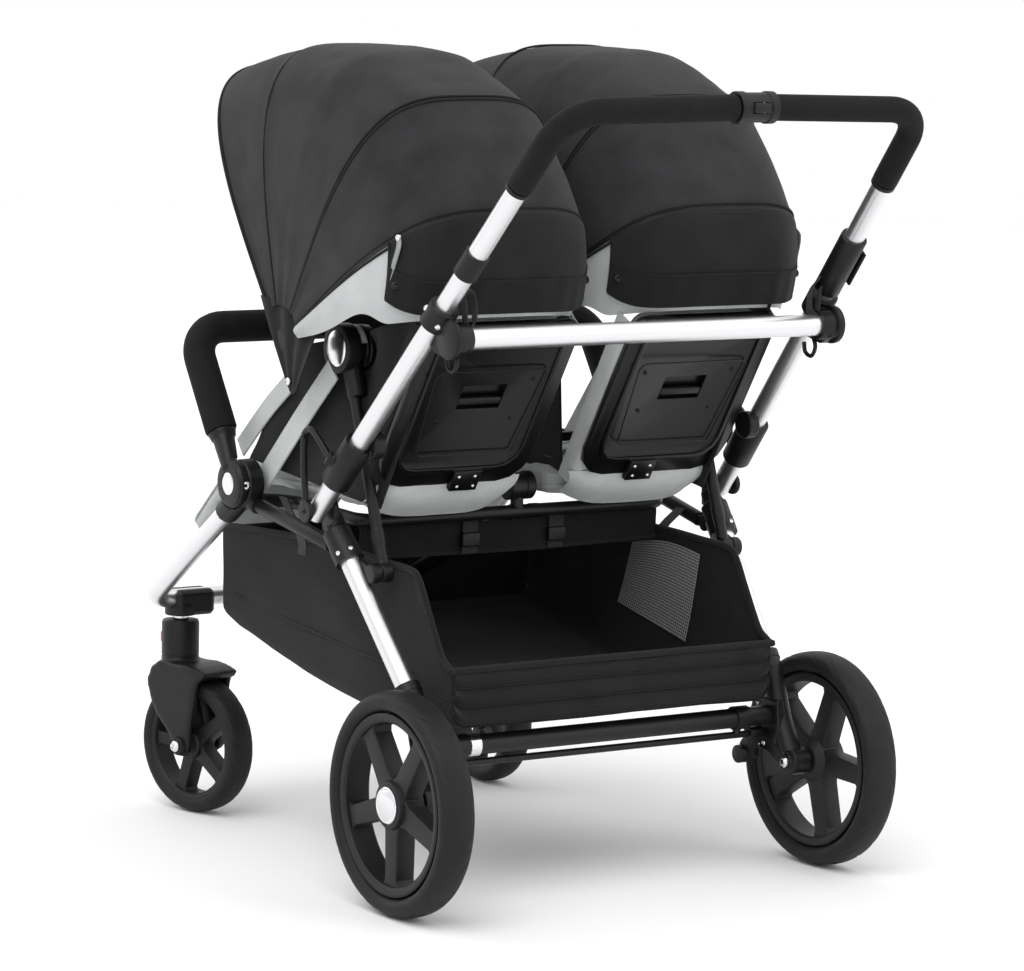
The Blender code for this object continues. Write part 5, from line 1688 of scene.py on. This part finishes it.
def basket_section(y, share):
    """A point of the basket's U section, by its share of the way from the rim on +X to the rim on -X."""
    if share > 0.5:
        mirror = basket_section(y, 1.0 - share)
        return Vector((-mirror.x, mirror.y, mirror.z))
    low, high = basket_station(y)
    wall = high - low - BASKET_CORNER
    flat = BASKET_WALL - BASKET_CORNER
    bend = math.pi * BASKET_CORNER / 2
    place = share * 2 * (wall + bend + flat)
    if place < wall:
        return Vector((BASKET_WALL, y, high - place))
    if place < wall + bend:
        angle = (place - wall) / BASKET_CORNER
        across = flat + BASKET_CORNER * math.cos(angle)
        return Vector((across, y, low + BASKET_CORNER * (1.0 - math.sin(angle))))
    return Vector((flat - (place - wall - bend), y, low))


class STROLLER_OT_basket(bpy.types.Operator):
    """Makes the cloth basket with its bound rim, seams and net windows"""
    bl_idname = "stroller.basket"
    bl_label = "Basket"

    def execute(self, context):
        thickness = context.scene.stroller_sizes.basket_cloth

        def tray(u, v):
            y = -0.630 + BASKET_LENGTH * v
            point = basket_section(y, u)
            low, high = basket_station(y)
            level = min(1.0, (high - point.z) / (high - low))
            crease = ripple(0.0030, y * 9.0, point.z * 14.0, point.x * 9.0)
            if abs(point.x) > BASKET_HALF_WIDTH - 0.004:
                bulge = math.sin(math.pi * level) * 0.005 * math.sin(math.pi * v)
                point.x += math.copysign(bulge + crease, point.x)
            else:
                hollow = 1.0 - (point.x / BASKET_HALF_WIDTH) ** 2
                point.z += crease - 0.004 * hollow * math.sin(math.pi * v)
            return at(point)

        cloth_piece(
            "basket_cloth", "basket", (150, 110), tray, (0.90, 0.66), thickness, "hung", "seat_frame",
            nodes=["basket"])
        self.front(thickness)
        self.back(thickness)
        self.rim()
        self.windows()
        self.seams()
        self.skirt()
        self.hangers()
        return {"FINISHED"}

    def front(self, thickness):
        """The front wall, with the strut's slot in its middle."""
        low, high = basket_station(-0.628)
        slot = 0.017
        for name, side in SIDES.items():
            def half(u, v):
                x = slot + (BASKET_HALF_WIDTH - 0.006 - slot) * u
                corner = 0.06 * (max(0.0, u - 0.9) / 0.1) ** 3
                z = low + (high - low) * (v * (1.0 - corner) + corner)
                puff = math.sin(math.pi * u) * math.sin(math.pi * v)
                return at((side * x, -0.6265 + 0.003 * puff, z))

            cloth_piece(
                "basket_front_" + name, "basket", (36, 20), half, (0.245, 0.134), thickness, "hung",
                "basket_cloth")

        def middle(u, v):
            return at(((2 * u - 1) * 0.019, -0.6275, 0.352 + 0.088 * v))

        cloth_piece(
            "basket_front_middle", "basket", (6, 8), middle, (0.038, 0.088), thickness, "hung",
            "basket_cloth")

    def back(self, thickness):
        """The low padded wall at the back, sewn in three rolls."""
        low, high = basket_station(-0.013)

        def wall(u, v):
            x = (2 * u - 1) * (BASKET_HALF_WIDTH - 0.004)
            corner = 0.2 * (max(0.0, abs(2 * u - 1) - 0.93) / 0.07) ** 2
            z = low + (high - low) * (v * (1.0 - corner) + corner)
            roll = 0.0060 * math.sin(v * math.pi * 3.0) ** 2
            return at((x, -0.013 + roll + ripple(0.0022, x * 22.0, z * 30.0, 5.0), z))

        cloth_piece(
            "basket_back", "basket", (110, 28), wall, (0.53, 0.080), thickness, "hung", "basket_cloth")
        for index, level in enumerate((0.06, 0.36, 0.68)):
            line = [wall(0.01 + 0.98 * k / 60, level) + Vector((0.0, 0.0016, 0.0)) for k in range(61)]
            bead("basket_back_seam_%d" % index, line, 0.0012, "binding", "chassis", 8)

    def rim(self):
        """Bound edge over the walls, on a thin wire."""
        for name, side in SIDES.items():
            half = side * BASKET_WALL
            points = [(half, y, basket_station(y)[1]) for y in (
                -0.628, -0.595, -0.500, -0.406, -0.330, -0.250, -0.180, -0.118, -0.098, -0.075, -0.052,
                -0.036, -0.013)]
            points += [(half * 0.97, -0.0120, 0.3222), (half * 0.5, -0.0115, 0.3226), (0.0, -0.0110, 0.3228)]
            line = smooth_line([at(point) for point in points], 150)
            bead("basket_rim_" + name, line, 0.0048, "binding", "chassis", 14, 60.0)
            reach = BASKET_HALF_WIDTH - 0.018
            line = [at((side * (0.016 + reach * k / 24), -0.6265, 0.4385)) for k in range(25)]
            bead("basket_front_rim_" + name, line, 0.0034, "binding", "chassis", 12, 60.0)

    def windows(self):
        """A net window on the inside of each side wall."""
        for name, side in SIDES.items():
            def net(u, v):
                low = Vector((-0.389, 0.327)).lerp(Vector((-0.215, 0.293)), u)
                high = Vector((-0.352, 0.421)).lerp(Vector((-0.182, 0.425)), u)
                y, z = low.lerp(high, v)
                z += 0.010 * math.sin(math.pi * u) * v
                floor, rim = basket_station(y)
                bulge = basket_bulge(y, (rim - z) / (rim - floor))
                return at((side * (BASKET_WALL + bulge - 0.0034), y, z))

            cloth_piece(
                "basket_net_in_" + name, "net", (40, 26), net, (0.178, 0.132), 0.0008, "stretched",
                "basket_cloth")

    def seams(self):
        """A raised seam low on each side wall, and one at each front corner."""
        for name, side in SIDES.items():
            points = []
            for k in range(41):
                y = -0.60 + 0.57 * k / 40
                level = 0.76 - 0.06 * math.sin(math.pi * k / 40)
                low, high = basket_station(y)
                x = BASKET_HALF_WIDTH + 0.0006 + basket_bulge(y, level)
                points.append(at((side * x, y, high - (high - low - 0.02) * level)))
            bead("basket_seam_low_" + name, points, 0.0010, "hood", "chassis", 8)
            x = side * (BASKET_HALF_WIDTH - 0.0035)
            points = [at((x, -0.629, 0.322 + 0.118 * k / 10)) for k in range(11)]
            bead("basket_corner_" + name, points, 0.0026, "binding", "chassis")

    def skirt(self):
        """Cloth that hangs across under the seats, with two buckled straps over it."""
        def skirt(u, v):
            x = (2 * u - 1) * 0.252
            fold = ripple(0.004, x * 12.0, v * 2.0, 8.0)
            return at((x, -0.277 + fold, 0.440 + 0.044 * v - 0.004 * math.sin(math.pi * u)))

        cloth_piece(
            "basket_skirt", "basket", (90, 10), skirt, (0.504, 0.044), 0.0018, "hung", "seat_frame_welded")
        bead("skirt_hem", [skirt(k / 90, 0.0) for k in range(91)], 0.0026, "binding", "chassis")
        for name, side in SIDES.items():
            x = side * 0.073
            points = [at((x, y, z)) for y, z in ((-0.2715, 0.498), (-0.2700, 0.470), (-0.2720, 0.436))]
            strap_piece(
                "skirt_strap_" + name, "webbing", points, 0.025, X_AXIS, "hung", "seat_frame_welded",
                length=0.062)
            buckle = block("skirt_buckle_" + name, (0.030, 0.007, 0.020), at((x, -0.2690, 0.456)), 0.0022)
            dress(buckle, "plastic", "chassis", (), 50.0)

    def hangers(self):
        """Straps that hang the basket from the side links."""
        for name, side in SIDES.items():
            for index, (y, top, x) in enumerate(((-0.405, 0.512, 0.300), (-0.285, 0.478, 0.303))):
                rim = basket_station(y)[1]
                points = [at((side * across, y, z)) for across, z in (
                    (BASKET_HALF_WIDTH + 0.001, rim - 0.024), (BASKET_HALF_WIDTH + 0.003, rim), (x, top))]
                strap_piece(
                    "basket_hanger_%s_%d" % (name, index), "webbing", points, 0.022, (0.0, 1.0, 0.0), "hung",
                    "side_link_" + name)


# Loops on the handle

class STROLLER_OT_loops(bpy.types.Operator):
    """Makes the webbing loops that hang from the handle frame"""
    bl_idname = "stroller.loops"
    bl_label = "Loops"

    def execute(self, context):
        for place, side in SIDES.items():
            top = on_handle(side, 0.415) + Vector((-side * 0.020, 0.006, 0.0))
            points = [top + Vector((side * x, 0.0, z)) for x, z in (
                (0.006, 0.014), (-0.012, 0.002), (-0.016, -0.030), (-0.004, -0.040), (0.0, -0.012),
                (0.004, 0.010))]
            strap_piece(
                "handle_loop_" + place, "webbing", points, 0.016, (0.0, 0.75, 0.66), "hung",
                "handle_tube_" + place, "handle")
            low = on_side(side, (0.296, 0.020, 0.748))
            hook = smooth_line([low + Vector((0.0, y, z)) for y, z in (
                (0.004, 0.012), (0.012, -0.004), (0.004, -0.018), (-0.010, -0.014), (-0.014, 0.0))], 24)
            bead("strap_hook_" + place, hook, 0.0030, "plastic", "handle", 12, 50.0)
        return {"FINISHED"}


# Stage

CAMERA_PLACE = Vector((3.32743, 4.73035, 1.30295))
CAMERA_AZIMUTH = math.radians(146.4392)
CAMERA_ELEVATION = math.radians(7.3476)
CAMERA_ROLL = math.radians(1.2312)
FOCAL_PIXELS = 4274.64
PRINCIPAL = (508.59, 485.48)


def backdrop():
    """A pale floor that meets a white surround, and keeps the soft shadow under the wheels."""
    material, shader = start_material("pale_floor", linear("#f6f6f6"), 0.85)
    place = add_node(material, "ShaderNodeTexCoord")
    vary(material, shader, linear("#f6f6f6"), place.outputs["Object"], 1.5, 0.995, 1.0)
    return material


class STROLLER_OT_stage(bpy.types.Operator):
    """Sets the floor, the lights and the camera"""
    bl_idname = "stroller.stage"
    bl_label = "Stage"

    def execute(self, context):
        scene = context.scene
        scene.view_settings.view_transform = "Standard"
        bm = bmesh.new()
        bmesh.ops.create_circle(bm, cap_ends=True, segments=96, radius=14.0)
        bmesh.ops.translate(bm, vec=(0.0, 0.0, -0.0006), verts=bm.verts)
        floor = mesh_object("studio_floor", bm)
        floor.data.materials.append(backdrop())
        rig.stage(floor)
        self.surround(scene)
        for name, place, spread, power in (
                ("key", (3.0, 2.2, 5.0), 50.0, 1.5), ("window", (-3.5, 2.5, 3.0), 70.0, 0.7),
                ("front", (1.0, -4.0, 3.0), 70.0, 0.6)):
            data = bpy.data.lights.new(name, "SUN")
            data.energy = power
            data.angle = math.radians(spread)
            lamp = bpy.data.objects.new(name, data)
            lamp.location = place
            lamp.rotation_euler = Vector(place).to_track_quat("Z", "Y").to_euler()
            scene.collection.objects.link(lamp)
        self.camera(scene)
        return {"FINISHED"}

    def surround(self, scene):
        """White surround, a little brighter where it is seen or mirrored than where it lights."""
        world = bpy.data.worlds.new("white_room")
        scene.world = world
        world.use_nodes = True
        background = world.node_tree.nodes["Background"]
        ray = add_node(world, "ShaderNodeLightPath").outputs
        seen = add_node(world, "ShaderNodeMath", (), {0: ray["Is Camera Ray"], 1: ray["Is Glossy Ray"]},
                        operation="MAXIMUM")
        clear = add_node(world, "ShaderNodeMath", (), {0: seen.outputs[0], 1: ray["Is Transmission Ray"]},
                         operation="MAXIMUM")
        level = add_node(world, "ShaderNodeMapRange", {3: 0.75, 4: 1.0}, {0: clear.outputs[0]})
        link(world, level.outputs[0], background.inputs["Strength"])
        background.inputs["Color"].default_value = (1.0, 1.0, 1.0, 1.0)

    def camera(self, scene):
        a, e = CAMERA_AZIMUTH, CAMERA_ELEVATION
        back = Vector((math.sin(a) * math.cos(e), -math.cos(a) * math.cos(e), math.sin(e)))
        right = Z_AXIS.cross(back).normalized()
        up = back.cross(right)
        roll = Matrix.Rotation(CAMERA_ROLL, 3, back)
        data = bpy.data.cameras.new("camera")
        data.sensor_width = 36.0
        data.lens = FOCAL_PIXELS * 36.0 / IMAGE_WIDTH
        data.shift_x = (IMAGE_WIDTH / 2 - PRINCIPAL[0]) / IMAGE_WIDTH
        data.shift_y = (PRINCIPAL[1] - IMAGE_HEIGHT / 2) / IMAGE_WIDTH
        camera = bpy.data.objects.new("camera", data)
        axes = Matrix((roll @ right, roll @ up, back)).transposed().to_4x4()
        camera.matrix_world = Matrix.Translation(at(CAMERA_PLACE)) @ axes
        scene.collection.objects.link(camera)
        scene.camera = camera


OPERATORS = (
    STROLLER_OT_stage, STROLLER_OT_wheels, STROLLER_OT_tubes, STROLLER_OT_foam, STROLLER_OT_mouldings,
    STROLLER_OT_seats, STROLLER_OT_hoods, STROLLER_OT_basket, STROLLER_OT_loops)


class STROLLER_PT_panel(bpy.types.Panel):
    bl_label = "Double Stroller"
    bl_space_type = "VIEW_3D"
    bl_region_type = "UI"
    bl_category = "Stroller"

    def draw(self, context):
        for operator in OPERATORS:
            self.layout.operator(operator.bl_idname)
        for group in (context.scene.stroller_colours, context.scene.stroller_sizes):
            for name in group.__annotations__:
                self.layout.prop(group, name)


CLASSES = (StrollerColours, StrollerSizes, *OPERATORS, STROLLER_PT_panel)


def register():
    for cls in CLASSES:
        bpy.utils.register_class(cls)
    bpy.types.Scene.stroller_colours = bpy.props.PointerProperty(type=StrollerColours)
    bpy.types.Scene.stroller_sizes = bpy.props.PointerProperty(type=StrollerSizes)


def unregister():
    del bpy.types.Scene.stroller_sizes
    del bpy.types.Scene.stroller_colours
    for cls in reversed(CLASSES):
        bpy.utils.unregister_class(cls)


def write_size():
    """Keeps the model's box and the finished object's box, in metres."""
    boxes = {
        "cad": [list(corner) for corner in CAD_BOX],
        "visual": [list(corner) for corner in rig.bounds()],
    }
    with open("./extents.json", "w", encoding="utf-8") as out:
        json.dump(boxes, out)


def main():
    register()
    make_materials()
    for operator in OPERATORS:
        getattr(bpy.ops.stroller, operator.bl_idname.split(".")[1])()
    bpy.context.view_layer.update()
    write_size()


if __name__ == "__main__":
    main()
